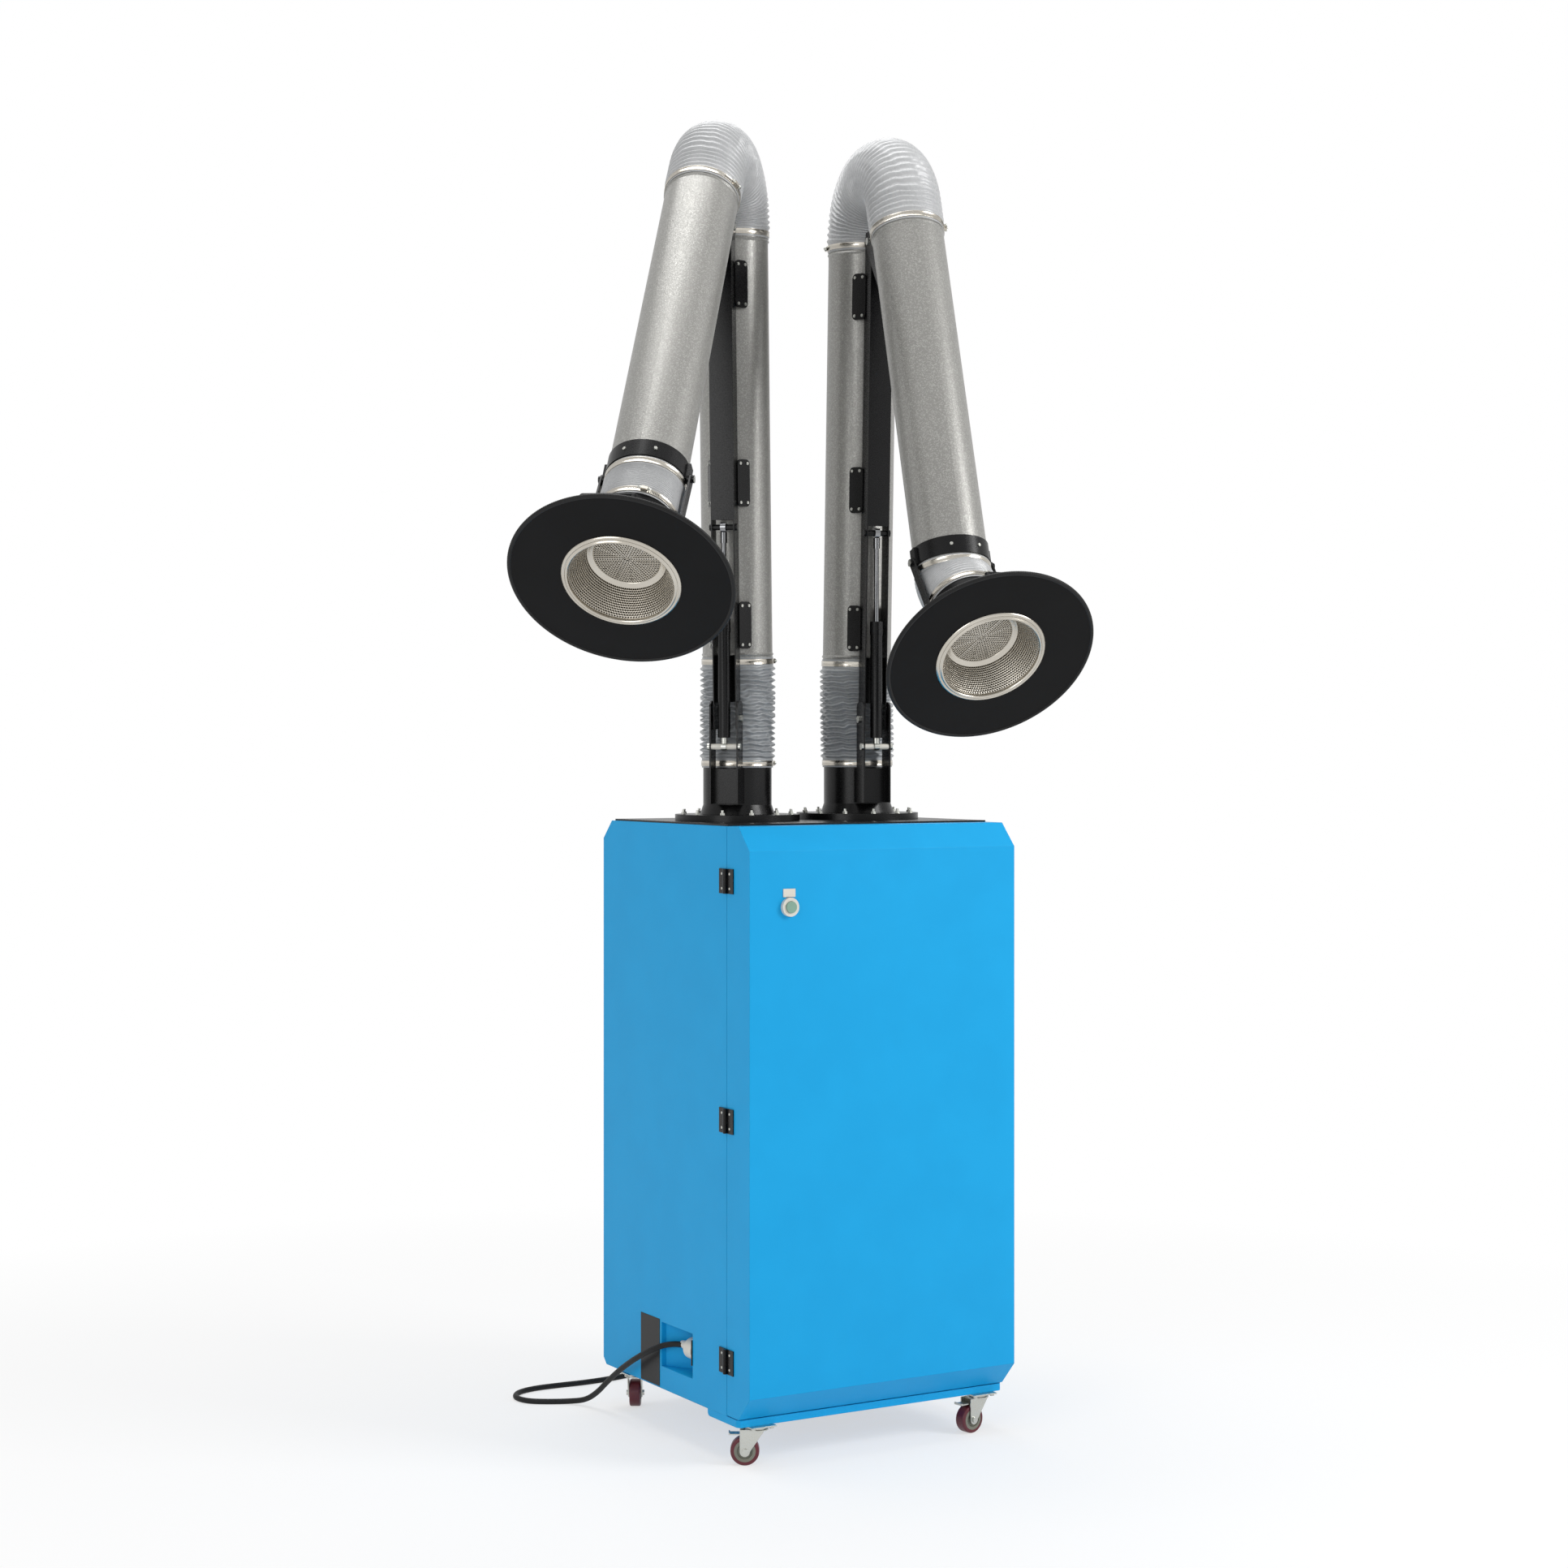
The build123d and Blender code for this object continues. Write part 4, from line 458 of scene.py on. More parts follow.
ARM_POSE = {
    "left": {"away": -ARM_AWAY, "swivel": 227.24, "lean": 2.89, "droop": 35.09, "turn": 1.0,
             "bars": 6.0, "hood": 1.2},
    "right": {"away": ARM_AWAY, "swivel": 257.61, "lean": 2.52, "droop": 19.43, "turn": 3.0,
              "bars": 22.5, "hood": 5.6},
}


def moved(x, z, y=0.0):
    """A move within an arm's frame, in millimetres."""
    return Matrix.Translation((mm(x), mm(y), mm(z)))


def turned(angle, axis):
    """A turn in degrees about an axis of the frame."""
    return Matrix.Rotation(radians(angle), 4, axis)


def arm_frames(side):
    """The frames of one arm's moving pieces at rest, in the scene."""
    pose = ARM_POSE[side]
    swivel = Matrix.Translation(place(pose["away"], ARM_BACK, 0)) @ turned(pose["swivel"], "Z")
    shoulder = swivel @ moved(SHOULDER_OUT, SHOULDER_Z)
    lower = shoulder @ turned(pose["lean"], "Y")
    upper = lower @ moved(*ELBOW) @ turned(-pose["droop"] - pose["lean"], "Y")
    wrist = moved(UPPER_AXIS_OUT, -UPPER_BEAD - UPPER_LENGTH - WRIST_PIN_BELOW)
    band = upper @ wrist @ turned(pose["turn"], "Z")
    bars = band @ turned(-pose["bars"], "Y")
    hood = bars @ moved(0, -BAR_LENGTH) @ turned(-pose["hood"], "Y")
    return {"swivel": swivel, "shoulder": shoulder, "lower": lower, "upper": upper, "band": band,
            "bars": bars, "hood": hood}


arms = {side: arm_frames(side) for side in ARM_POSE}
joints = {joint["name"]: joint for joint in frame["joints"]}
for side, chain in arms.items():
    miss = (chain["upper"].translation - Vector(joints[f"{side}_elbow"]["pos_m"])).length
    print(side, "elbow pin is off by", round(miss * 1000, 3), "mm")

# %% [markdown]
# ## Mesh helpers
# Three helpers make most of the new meshes. One joins rings of points into a skin. One spins a
# closed outline about an axis, as a lathe would. One makes a bar with softened edges, which is
# what a real stamped or moulded block has. A fourth joins such pieces into one mesh.

# %% Rings, lathe and soft block
AROUND = 96
SHARP_ANGLE = 30.0


def radial(radius, angle, height):
    """A point by radius, angle and height in mm about the Z axis."""
    return Vector((mm(radius) * cos(angle), mm(radius) * sin(angle), mm(height)))


def finished_mesh(name, points, faces, finish, smooth=True):
    """A mesh object with one finish."""
    mesh = bpy.data.meshes.new(name)
    mesh.from_pydata([tuple(point) for point in points], [], faces)
    mesh.materials.append(finish)
    if smooth:
        mesh.shade_smooth()
    return shown(name, mesh)


def ring_faces(rings, around, joined=False):
    """Faces between neighbouring rings of points, and from the last ring to the first if joined."""
    faces = []
    for ring in range(rings if joined else rings - 1):
        here, there = ring * around, (ring + 1) % rings * around
        for step in range(around):
            after = (step + 1) % around
            faces.append((here + step, here + after, there + after, there + step))
    return faces


def lathe(name, outline, finish, matrix=Matrix(), around=AROUND, wave=None):
    """Spins a closed outline of (radius, height) in mm about the Z axis of a frame."""
    points = []
    for step in range(around):
        angle = 2 * pi * step / around
        for radius, height in outline:
            grown = radius + (wave(angle, radius, height) if wave else 0)
            points.append(matrix @ radial(grown, angle, height))
    return finished_mesh(name, points, ring_faces(around, len(outline), joined=True), finish)


def soften(piece, width, segments=2):
    """Bevels the sharp edges of a piece by that many millimetres, and applies it."""
    work = bmesh.new()
    work.from_mesh(piece.data)
    bmesh.ops.recalc_face_normals(work, faces=work.faces)
    limit = radians(SHARP_ANGLE)
    sharp = [edge for edge in work.edges if edge.is_manifold and edge.calc_face_angle(0) > limit]
    bmesh.ops.bevel(work, geom=sharp, offset=mm(width), segments=segments, affect="EDGES")
    work.to_mesh(piece.data)
    work.free()
    return piece


def block(name, low, high, finish, matrix=Matrix(), edge=0.6):
    """A bar with softened edges, from two corners in mm in a frame."""
    points = [
        Vector((mm(x), mm(y), mm(z)))
        for x in (low[0], high[0]) for y in (low[1], high[1]) for z in (low[2], high[2])
    ]
    faces = [(0, 1, 3, 2), (4, 6, 7, 5), (0, 4, 5, 1), (2, 3, 7, 6), (0, 2, 6, 4), (1, 5, 7, 3)]
    piece = soften(finished_mesh(name, points, faces, finish, smooth=False), edge)
    piece.data.transform(matrix)
    return piece


def join(name, pieces):
    """Joins pieces into one mesh and keeps the finish of each."""
    work = bmesh.new()
    finishes = []
    for piece in pieces:
        for finish in piece.data.materials:
            if finish not in finishes:
                finishes.append(finish)
    for piece in pieces:
        first = len(work.faces)
        work.from_mesh(piece.data)
        work.faces.ensure_lookup_table()
        slots = [finishes.index(finish) for finish in piece.data.materials]
        for face in work.faces[first:]:
            face.material_index = slots[face.material_index]
    mesh = bpy.data.meshes.new(name)
    work.to_mesh(mesh)
    work.free()
    for finish in finishes:
        mesh.materials.append(finish)
    for piece in pieces:
        bpy.data.objects.remove(piece)
    return shown(name, mesh)


print("helpers ready")

# %% [markdown]
# ## The mains cord
# A 13 mm rubber cord leaves the plug in the side recess, hangs out over the edge, lies on the
# floor and runs behind the cabinet, where the rest of it is coiled in two layers. It is one
# smooth NURBS line. The free run repeats the route of the solid model; the coil is more points of
# the same line, set a little outside each arc because such a line cuts inside its corners.

# %% Cord route and coil
CORD_RADIUS = 6.5
CORD_EXIT = (-320.0, -81.7, 211.0)
CORD_ROUTE = (
    (-320, -50, 211), (-343, -12, 206), (-365, 24, 188), (-372, 74, 163),
    (-373, 126, 136), (-372, 178, 107), (-371, 228, 76), (-373, 276, 41),
    (-380, 322, 15), (-404, 362, 6.5), (-450, 384, 6.5), (-490, 414, 6.5),
    (-500, 464, 6.5), (-470, 506, 6.5), (-418, 522, 6.5), (-358, 520, 6.5),
    (-296, 514, 6.5), (-232, 516, 6.5), (-168, 526, 6.5), (-106, 546, 6.5),
    (-50, 578, 6.5), (-8, 624, 6.5), (10, 681, 6.5), (10, 707, 6.5),
)
COIL_CENTRE = (110.0, 720.0)
COIL_RADIUS = 100.0
COIL_PITCH = 14.0
COIL_TAIL = 92.0
COIL_TAIL_SHARES = (0.25, 1.0)
LOW_HALF_TURNS = 7
HALF_TURN_POINTS = 8


def coil_points():
    """Points of half turns that close in, of one that climbs, and of half turns that open out."""
    centre_x, centre_y = COIL_CENTRE
    step_angle = pi / HALF_TURN_POINTS
    outside = 1 / cos(step_angle / 2)
    points = []
    x, way, z = -COIL_RADIUS, 1, CORD_RADIUS
    turns = [("low", COIL_RADIUS - step * COIL_PITCH / 2) for step in range(LOW_HALF_TURNS)]
    smallest = COIL_RADIUS - LOW_HALF_TURNS * COIL_PITCH / 2
    turns += [("climb", smallest)]
    turns += [("high", smallest + step * COIL_PITCH / 2) for step in range(1, LOW_HALF_TURNS)]
    for layer, radius in turns:
        middle = centre_x + x + way * radius
        for number in range(HALF_TURN_POINTS):
            share = (number + 0.5) / HALF_TURN_POINTS
            angle = pi * share
            height = z + COIL_PITCH * share if layer == "climb" else z
            points.append((
                middle - way * radius * outside * cos(angle),
                centre_y + way * radius * outside * sin(angle),
                height,
            ))
        x += way * 2 * radius
        way = -way
        z = CORD_RADIUS + COIL_PITCH if layer == "climb" else z
    for share in COIL_TAIL_SHARES:
        points.append((centre_x + x, centre_y + way * COIL_TAIL * share, z))
    return points


cord_points = [CORD_EXIT, *CORD_ROUTE, *coil_points()]
cord_curve = bpy.data.curves.new("mains_cord", "CURVE")
cord_curve.dimensions = "3D"
cord_curve.bevel_depth = mm(CORD_RADIUS)
cord_curve.bevel_resolution = 5
cord_curve.resolution_u = 8
cord_curve.use_fill_caps = True
line = cord_curve.splines.new("NURBS")
line.points.add(len(cord_points) - 1)
for point, spot in zip(line.points, cord_points):
    point.co = (*place(*spot), 1.0)
line.order_u = 3
line.use_endpoint_u = True
cord_curve.materials.append(black_rubber)
mains_cord = shown("mains_cord", cord_curve)
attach(mains_cord, "cabinet")
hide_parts("power_cord", "cord_coil")
print("cord has", len(cord_points), "points")

# %% [markdown]
# Where the cord leaves its plug, a soft sleeve stops it from kinking. On the real one it is a
# ribbed cone moulded over the cord, which tapers from the plug's tail to the cord.

# %% Strain relief
RELIEF_LENGTH = 36.0
RELIEF_RADII = (12.5, 8.0)     # at the plug, and at the free end
RELIEF_RIBS = 5
RELIEF_RIB = ((0.15, 0.0), (0.55, 0.0), (0.7, 1.2), (0.95, 1.2))
RELIEF_BORE = CORD_RADIUS + 0.1
RELIEF_LIP = 0.4

relief_start = place(*CORD_EXIT)
thick, thin = RELIEF_RADII
outline = [(RELIEF_BORE, 0.0), (thick, 0.0)]
for rib in range(RELIEF_RIBS):
    for share, drop in RELIEF_RIB:
        along = (rib + share) / RELIEF_RIBS
        outline.append((thick + (thin - thick) * along - drop, RELIEF_LENGTH * along))
outline += [(thin - RELIEF_LIP, RELIEF_LENGTH), (RELIEF_BORE, RELIEF_LENGTH)]
along_cord = Vector((0, 1, 0)).to_track_quat("Z", "Y").to_matrix().to_4x4()
cord_relief = lathe(
    "cord_strain_relief", outline, pale_plastic, Matrix.Translation(relief_start) @ along_cord,
    around=32,
)
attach(cord_relief, "cabinet")

# %% [markdown]
# ## Hoses
# Each hose is PVC cloth round a wire helix. Pushed together, the cloth stands up in soft wavy
# folds between the wires; stretched round a bend, the wires open like a fan on the outside and
# close up on the inside. The skin is computed ring by ring along the hose's centre line, with a
# rounded ridge for each wire and low waves that run along the ridges. The bore is its own skin,
# so the wall has a real thickness.

# %% Centre lines of the hoses
HOSE_STEPS = 10                # rings of points for each rib of a hose
HOSE_AROUND = 144
VALLEY_RADIUS = 81.5
BORE_RADIUS = 80.3
SINK_START = 0.12              # share of the free length over which the cloth is drawn in
CUFF_SAMPLES = 400
BEND_SAMPLES = 300
UNREST_WAVES = ((3, 0.5), (7, 0.35), (13, 0.3), (22, 0.2))
UNREST_DRIFT = (1.5, 4.0)
UNREST_HEIGHT = 0.4
UNREST_ENDS = 0.35             # how soon the unrest starts behind a cuff
CREST_SHARPNESS = 1.3


def straight_cuffs(first, way_first, last, way_last, count):
    """A line with a straight cuff at both ends and a smooth bend between."""
    start = first + way_first * mm(CUFF)
    end = last + way_last * mm(CUFF)
    pull = (end - start).length
    samples = []
    for share in np.linspace(0, 1, CUFF_SAMPLES):
        a, b = 2 * share**3 - 3 * share**2 + 1, share**3 - 2 * share**2 + share
        c, d = -2 * share**3 + 3 * share**2, share**3 - share**2
        samples.append(start * a + way_first * pull * b + end * c - way_last * pull * d)
    return even_points([first, *samples, last], count)


def round_bend(first, way_first, last, way_last, count):
    """A line of a straight run, a round bend and a straight run."""
    gap = last - first
    level = way_first.dot(way_last)
    spread = 1 - level**2
    run_first = (gap.dot(way_first) - gap.dot(way_last) * level) / spread
    run_last = -(gap.dot(way_last) - gap.dot(way_first) * level) / spread
    half_turn = (pi - acos(level)) / 2
    cut = min(run_first, run_last) - mm(CUFF)
    radius = cut / tan(half_turn)
    arc_first = first + way_first * (run_first - cut)
    arc_last = last + way_last * (run_last - cut)
    chord = arc_last - arc_first
    inward = (chord - way_first * chord.dot(way_first)).normalized()
    centre = arc_first + inward * radius
    samples = [first]
    for share in np.linspace(0, 1, BEND_SAMPLES):
        angle = 2 * half_turn * share
        samples.append(centre - inward * radius * cos(angle) + way_first * radius * sin(angle))
    print("bend radius", round(radius * 1000), "mm, closes within",
          round((samples[-1] - arc_last).length * 1000, 3), "mm")
    return even_points([*samples, last], count)


def even_points(samples, count):
    """Points evenly spaced along a line of samples, their directions, and the line's length."""
    line = np.array([tuple(sample) for sample in samples])
    gaps = np.linalg.norm(np.diff(line, axis=0), axis=1)
    run = np.concatenate([[0], np.cumsum(gaps)])
    spots = np.linspace(0, run[-1], count)
    points = np.stack([np.interp(spots, run, line[:, axis]) for axis in range(3)], axis=1)
    ways = np.gradient(points, axis=0)
    ways /= np.linalg.norm(ways, axis=1)[:, None]
    return points, ways, run[-1]


# %% [markdown]
# The skin is a grid of points: one ring for each point of the centre line. The ridges fade out
# in the cuffs, where the clamps hold the cloth flat on the duct.

# %% Skin of a hose
def hose(name, line, side_way, shape, finish, seed):
    """The skin of a ribbed hose.

    The shape holds its ribs, the rise and the fall of the cloth in mm, and the unrest of its folds.
    """
    ribs, ridge, sink, waves = shape
    points, ways, length = line
    random = np.random.default_rng(seed)
    count = len(points)
    side = np.array(side_way)[None, :] - ways * (ways @ np.array(side_way))[:, None]
    side /= np.linalg.norm(side, axis=1)[:, None]
    ahead = np.cross(ways, side)
    angle = np.linspace(0, 2 * pi, HOSE_AROUND, endpoint=False)[None, :]
    run = np.linspace(0, length * 1000, count)[:, None]
    inner = np.clip((run - CUFF) / (length * 1000 - 2 * CUFF), 0, 1)
    phase = inner * ribs
    unrest = np.zeros((count, HOSE_AROUND))
    for order, share in UNREST_WAVES:
        shift = random.uniform(0, 2 * pi)
        drift = random.uniform(*UNREST_DRIFT)
        unrest += share * np.sin(order * angle + shift + drift * inner * 2 * pi)
    free = np.sin(pi * inner) ** UNREST_ENDS
    wire = phase + waves * unrest * free
    crest = (0.5 + 0.5 * np.cos(2 * pi * (wire - 0.5))) ** CREST_SHARPNESS
    drawn = np.clip(inner / SINK_START, 0, 1) * np.clip((1 - inner) / SINK_START, 0, 1)
    cuff_share = ((run < CUFF) | (run > length * 1000 - CUFF)).astype(float)
    lift = (ridge + sink * drawn) * crest * (1 - cuff_share)
    radius = VALLEY_RADIUS - sink * drawn + lift + UNREST_HEIGHT * unrest * free
    bore = BORE_RADIUS - sink * drawn + np.zeros_like(radius)
    cosine, sine = np.cos(angle)[:, :, None], np.sin(angle)[:, :, None]
    outward = cosine * side[:, None, :] + sine * ahead[:, None, :]
    rings = [points[:, None, :] + mm(1) * wall[:, :, None] * outward for wall in (radius, bore)]
    skin = np.concatenate([rings[0], rings[1][::-1]]).reshape(-1, 3)
    faces = ring_faces(2 * count, HOSE_AROUND, joined=True)
    return finished_mesh(name, skin, faces, finish)


def up(matrix):
    """The upward way of a frame."""
    return (matrix.to_3x3() @ Vector((0, 0, 1))).normalized()


def sideways(matrix):
    """The way of a frame's pins."""
    return (matrix.to_3x3() @ Vector((0, 1, 0))).normalized()


def spot(matrix, x, z):
    """A point in the middle plane of a frame, in mm."""
    return matrix @ Vector((mm(x), 0, mm(z)))


# %% [markdown]
# The lower hose closes the gap over the shoulder pin, so it is squeezed and its folds are high
# and restless. The elbow hose arches over the elbow pin. The hood hose hangs from the wrist
# band; it crosses two joints, so it is made in two halves that meet on the bars between them.

# %% The six hoses
SHOULDER_SHAPE = (16, 5.0, 4.0, 0.30)
ARCH_SHAPE = (34, 3.3, 1.9, 0.17)
HOOD_SHAPE = (16, 2.2, 0.0, 0.10)
SHOULDER_SEED = 11
ARCH_SEED = 21
HOOD_SEED = 31
CUFF_RINGS = 40

for number, (side, chain) in enumerate(arms.items()):
    swivel, lower, upper = chain["swivel"], chain["lower"], chain["upper"]
    band, bars, hood = chain["band"], chain["bars"], chain["hood"]
    bottom = spot(swivel, 0, COLLAR_TOP - CUFF)
    top = spot(lower, -TUBE_BEHIND_PIN, LOWER_BEADS[0] - BEAD_HALF - HOSE_STOP)
    count = SHOULDER_SHAPE[0] * HOSE_STEPS + CUFF_RINGS
    # The lower hose takes the darker copy of the pale cloth: painted shade.
    shoulder_hose = hose(
        f"{side}_shoulder_hose", straight_cuffs(bottom, up(swivel), top, -up(lower), count),
        sideways(swivel), SHOULDER_SHAPE, pvc_cloth_with_painted_shade, SHOULDER_SEED + number,
    )
    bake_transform(shoulder_hose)
    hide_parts(f"{side}_lower_hose")

    foot = spot(lower, -TUBE_BEHIND_PIN, LOWER_BEADS[1] + BEAD_HALF + HOSE_STOP)
    head = spot(upper, UPPER_AXIS_OUT, -UPPER_BEAD + BEAD_HALF + HOSE_STOP)
    count = ARCH_SHAPE[0] * HOSE_STEPS + CUFF_RINGS
    arch_hose = hose(
        f"{side}_arch_hose", round_bend(foot, up(lower), head, up(upper), count),
        sideways(lower), ARCH_SHAPE, pale_pvc, ARCH_SEED + number,
    )
    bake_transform(arch_hose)
    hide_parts(f"{side}_elbow_hose")

    first = spot(band, 0, WRIST_PIN_BELOW - BAND_HEIGHT - HOSE_STOP)
    last = spot(hood, 0, NECK_ABOVE_PIN - CUFF)
    count = HOOD_SHAPE[0] * HOSE_STEPS + CUFF_RINGS + 1
    hood_line = straight_cuffs(first, -up(band), last, up(hood), count)
    whole = hose(
        f"{side}_whole_hood_hose", hood_line, sideways(band), HOOD_SHAPE, pale_pvc,
        HOOD_SEED + number,
    )
    half = count // 2
    spots = [tuple(vertex.co) for vertex in whole.data.vertices]
    ring_spots = np.array(spots).reshape(2 * count, -1, 3)
    bpy.data.objects.remove(whole)
    middle = Vector(hood_line[0][half])
    parts_of_hose = (
        ("upper", slice(0, half + 1), f"{side}_wrist_band", f"{side}_wrist_bars", first, middle),
        ("lower", slice(half, count), f"{side}_wrist_bars", f"{side}_hood", middle, last),
    )
    for half_name, part, body_a, body_b, start, end in parts_of_hose:
        outside = ring_spots[:count][part]
        inside = ring_spots[count:][::-1][part][::-1]
        skin = np.concatenate([outside, inside]).reshape(-1, 3)
        faces = ring_faces(2 * len(outside), HOSE_AROUND, joined=True)
        piece = finished_mesh(f"{side}_hood_hose_{half_name}_half", skin, faces, pale_pvc)
        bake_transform(piece)
        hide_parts(f"{side}_hood_hose")

# %% [markdown]
# ## Hose clamps
# Every hose end is held by a worm-drive clamp: a thin stainless band with slots, a pressed
# housing and a hexagonal worm screw that lies along the band. The slots are not cut through: each
# is a thin black patch on the band, painted shade for the dark of the opening. The band is spun,
# and the housing and the screw are set on it at an angle that differs from clamp to clamp.

# %% Worm-drive clamps
CLAMP_WIDTH = 12.0
CLAMP_INNER = 81.7
CLAMP_OUTER = 83.0
CLAMP_LIP = 0.5                # height of the turned-up edges
CLAMP_FOLD = 0.8               # and their width
HOUSING = ((0, -8, -5.5), (7, 8, 5.5))
SCREW_OUT = 4.0
SHANK = ((0.01, -13), (2.6, -13), (2.6, 9), (0.01, 9))
HEAD = ((0.01, 9), (5.2, 9), (5.2, 10.2), (3.9, 10.6), (3.6, 14), (3.0, 14.6), (0.01, 14.6))
# Each slot is a thin black patch on the band's face: painted shade for the opening.
SLOT = ((-0.2, -0.7, -2.6), (0.12, 0.7, 2.6))
SLOT_TURN = 2.4                # degrees from slot to slot
SLOTS = (*range(-9, -2), *range(3, 10))


def clamp(name, matrix, height, turn):
    """A clamp round a hose end, at a height of a frame, with its screw turned to an angle."""
    low, high = height - CLAMP_WIDTH / 2, height + CLAMP_WIDTH / 2
    raised = CLAMP_OUTER + CLAMP_LIP
    outline = [
        (CLAMP_INNER, low), (raised, low), (raised, low + CLAMP_FOLD),
        (CLAMP_OUTER, low + 2 * CLAMP_FOLD), (CLAMP_OUTER, high - 2 * CLAMP_FOLD),
        (raised, high - CLAMP_FOLD), (raised, high), (CLAMP_INNER, high),
    ]
    at_turn = matrix @ turned(turn, "Z") @ moved(CLAMP_OUTER, height)
    screw_frame = at_turn @ moved(SCREW_OUT, 0) @ turned(-90, "X")
    pieces = [
        lathe("band", outline, stainless_steel, matrix),
        block("housing", *HOUSING, stainless_steel, at_turn, edge=1.8),
        lathe("shank", SHANK, zinc_plate, screw_frame, around=16),
        lathe("screw_head", HEAD, zinc_plate, screw_frame, around=6),
    ]
    # Painted shade: a black patch where each slot opens.
    for step in SLOTS:
        slot_turn = matrix @ turned(turn + step * SLOT_TURN, "Z") @ moved(CLAMP_OUTER, height)
        pieces.append(block("slot", *SLOT, black_rubber, slot_turn, edge=0.1))
    return join(name, pieces)


for side, chain in arms.items():
    swivel, lower, upper = chain["swivel"], chain["lower"], chain["upper"]
    lower_axis = lower @ moved(-TUBE_BEHIND_PIN, 0)
    upper_axis = upper @ moved(UPPER_AXIS_OUT, 0)
    half_cuff = CUFF / 2
    past_bead = BEAD_HALF + HOSE_STOP + half_cuff
    on_wrist = WRIST_PIN_BELOW - BAND_HEIGHT - HOSE_STOP - half_cuff
    places_of_clamps = (
        ("shoulder_low", "swivel", swivel, COLLAR_TOP - half_cuff, 120),
        ("shoulder_high", "lower_arm", lower_axis, LOWER_BEADS[0] - past_bead, 118),
        ("elbow_low", "lower_arm", lower_axis, LOWER_BEADS[1] + past_bead, -110),
        ("elbow_high", "upper_arm", upper_axis, -UPPER_BEAD + past_bead, 70),
        ("wrist", "wrist_band", chain["band"], on_wrist, 150),
        ("hood", "hood", chain["hood"], NECK_ABOVE_PIN - half_cuff, 20),
    )
    for where, body, matrix, height, turn in places_of_clamps:
        piece = clamp(f"{side}_{where}_clamp", matrix, height, turn)
        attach(piece, f"{side}_{body}")
print("clamps", 2 * len(places_of_clamps))

# %% [markdown]
# ## Inlet baskets
# Sparks are kept out of the duct by a stainless basket: a spun lip, a tapered perforated wall and
# a perforated end disc in a rolled ring. The holes are real openings. Each hole lies in a small
# cell; a cell's rim and its hole have the same number of points, so one ring of faces fills the
# space between them. On the real sheet the holes are about 2 mm apart; they are drawn 4.9 mm
# apart, which is as fine as the picture can show.

# %% Perforated sheet
HOLE_PITCH = 4.9
HOLE_RADIUS = 1.6
CELL_RIM = ((-1, -1), (0, -1), (1, -1), (1, 0), (1, 1), (0, 1), (-1, 1), (-1, 0))
SHEET = 0.9
WELD = 0.02                    # points closer than this are one point


def perforated(name, rows, to_space, finish):
    """A sheet of staggered holes.

    Rows give (low, high, number of cells); to_space turns an angle and a height into a point and
    the radius there.
    """
    points, faces = [], []
    cell_points = len(CELL_RIM)
    cell_faces = ring_faces(2, cell_points)
    for row, (low, high, cells) in enumerate(rows):
        half_angle = pi / cells
        middle = (low + high) / 2
        for cell in range(cells):
            angle = 2 * half_angle * (cell + 0.5 * (row % 2))
            round_radius = to_space(angle, middle)[1]
            first = len(points)
            for across, along in CELL_RIM:
                height = middle + along * (high - low) / 2
                points.append(to_space(angle + across * half_angle, height)[0])
            for step in range(cell_points):
                turn = 2 * pi * step / cell_points - 3 * pi / 4
                at_hole = angle + HOLE_RADIUS * cos(turn) / round_radius
                points.append(to_space(at_hole, middle + HOLE_RADIUS * sin(turn))[0])
            faces += [tuple(first + corner for corner in face) for face in cell_faces]
    sheet = finished_mesh(name, points, faces, finish, smooth=False)
    work = bmesh.new()
    work.from_mesh(sheet.data)
    bmesh.ops.remove_doubles(work, verts=work.verts, dist=mm(WELD))
    bmesh.ops.recalc_face_normals(work, faces=work.faces)
    bmesh.ops.solidify(work, geom=work.faces, thickness=mm(SHEET))
    work.to_mesh(sheet.data)
    work.free()
    sheet.data.shade_smooth()
    return sheet


# %% [markdown]
# Each basket is five pieces in one: the tapered wall, the end disc with a small plain hub in its
# middle, the rolled ring that holds the disc, and the spun lip that lies on the hood's face.

# %% Baskets
FACE = -153.0                  # the hood's face in the hood's frame
MOUTH_RADIUS = 106.5
END_RADIUS = 77.0
DEPTH = 64.0
BACK = FACE + DEPTH
DISC_RADIUS = 70.0
WALL_EDGE = 3.0
WALL_SHARE = 0.88              # the wall's middle radius as a share of the mouth's
HUB_RADIUS = HOLE_PITCH / 2
HUB = ((0.01, -0.4), (HUB_RADIUS, -0.4), (HUB_RADIUS, 0.4), (0.01, 0.4))
RING_INNER = ((-0.6, 0.8), (-0.6, -0.8), (1.6, -2.6))
RING_OUTER = ((-1.5, -2.6), (0.2, -5.0), (2.6, -5.0), (1.4, 0.8))
LIP = (
    (-2.0, 4.5), (-2.2, -3.0), (-1.2, -5.6), (0.8, -6.8), (3.0, -6.0), (4.0, -3.4), (5.6, -2.8),
    (6.6, -4.2), (9.0, -4.0), (10.6, -2.0), (12.6, -0.8), (12.6, -0.1), (7.0, -0.1), (1.0, -0.1),
    (0.6, 4.5),
)


def outline_at(radius, height, steps):
    """An outline for the lathe, from steps away from a radius and a height."""
    return [(radius + out, height + rise) for out, rise in steps]


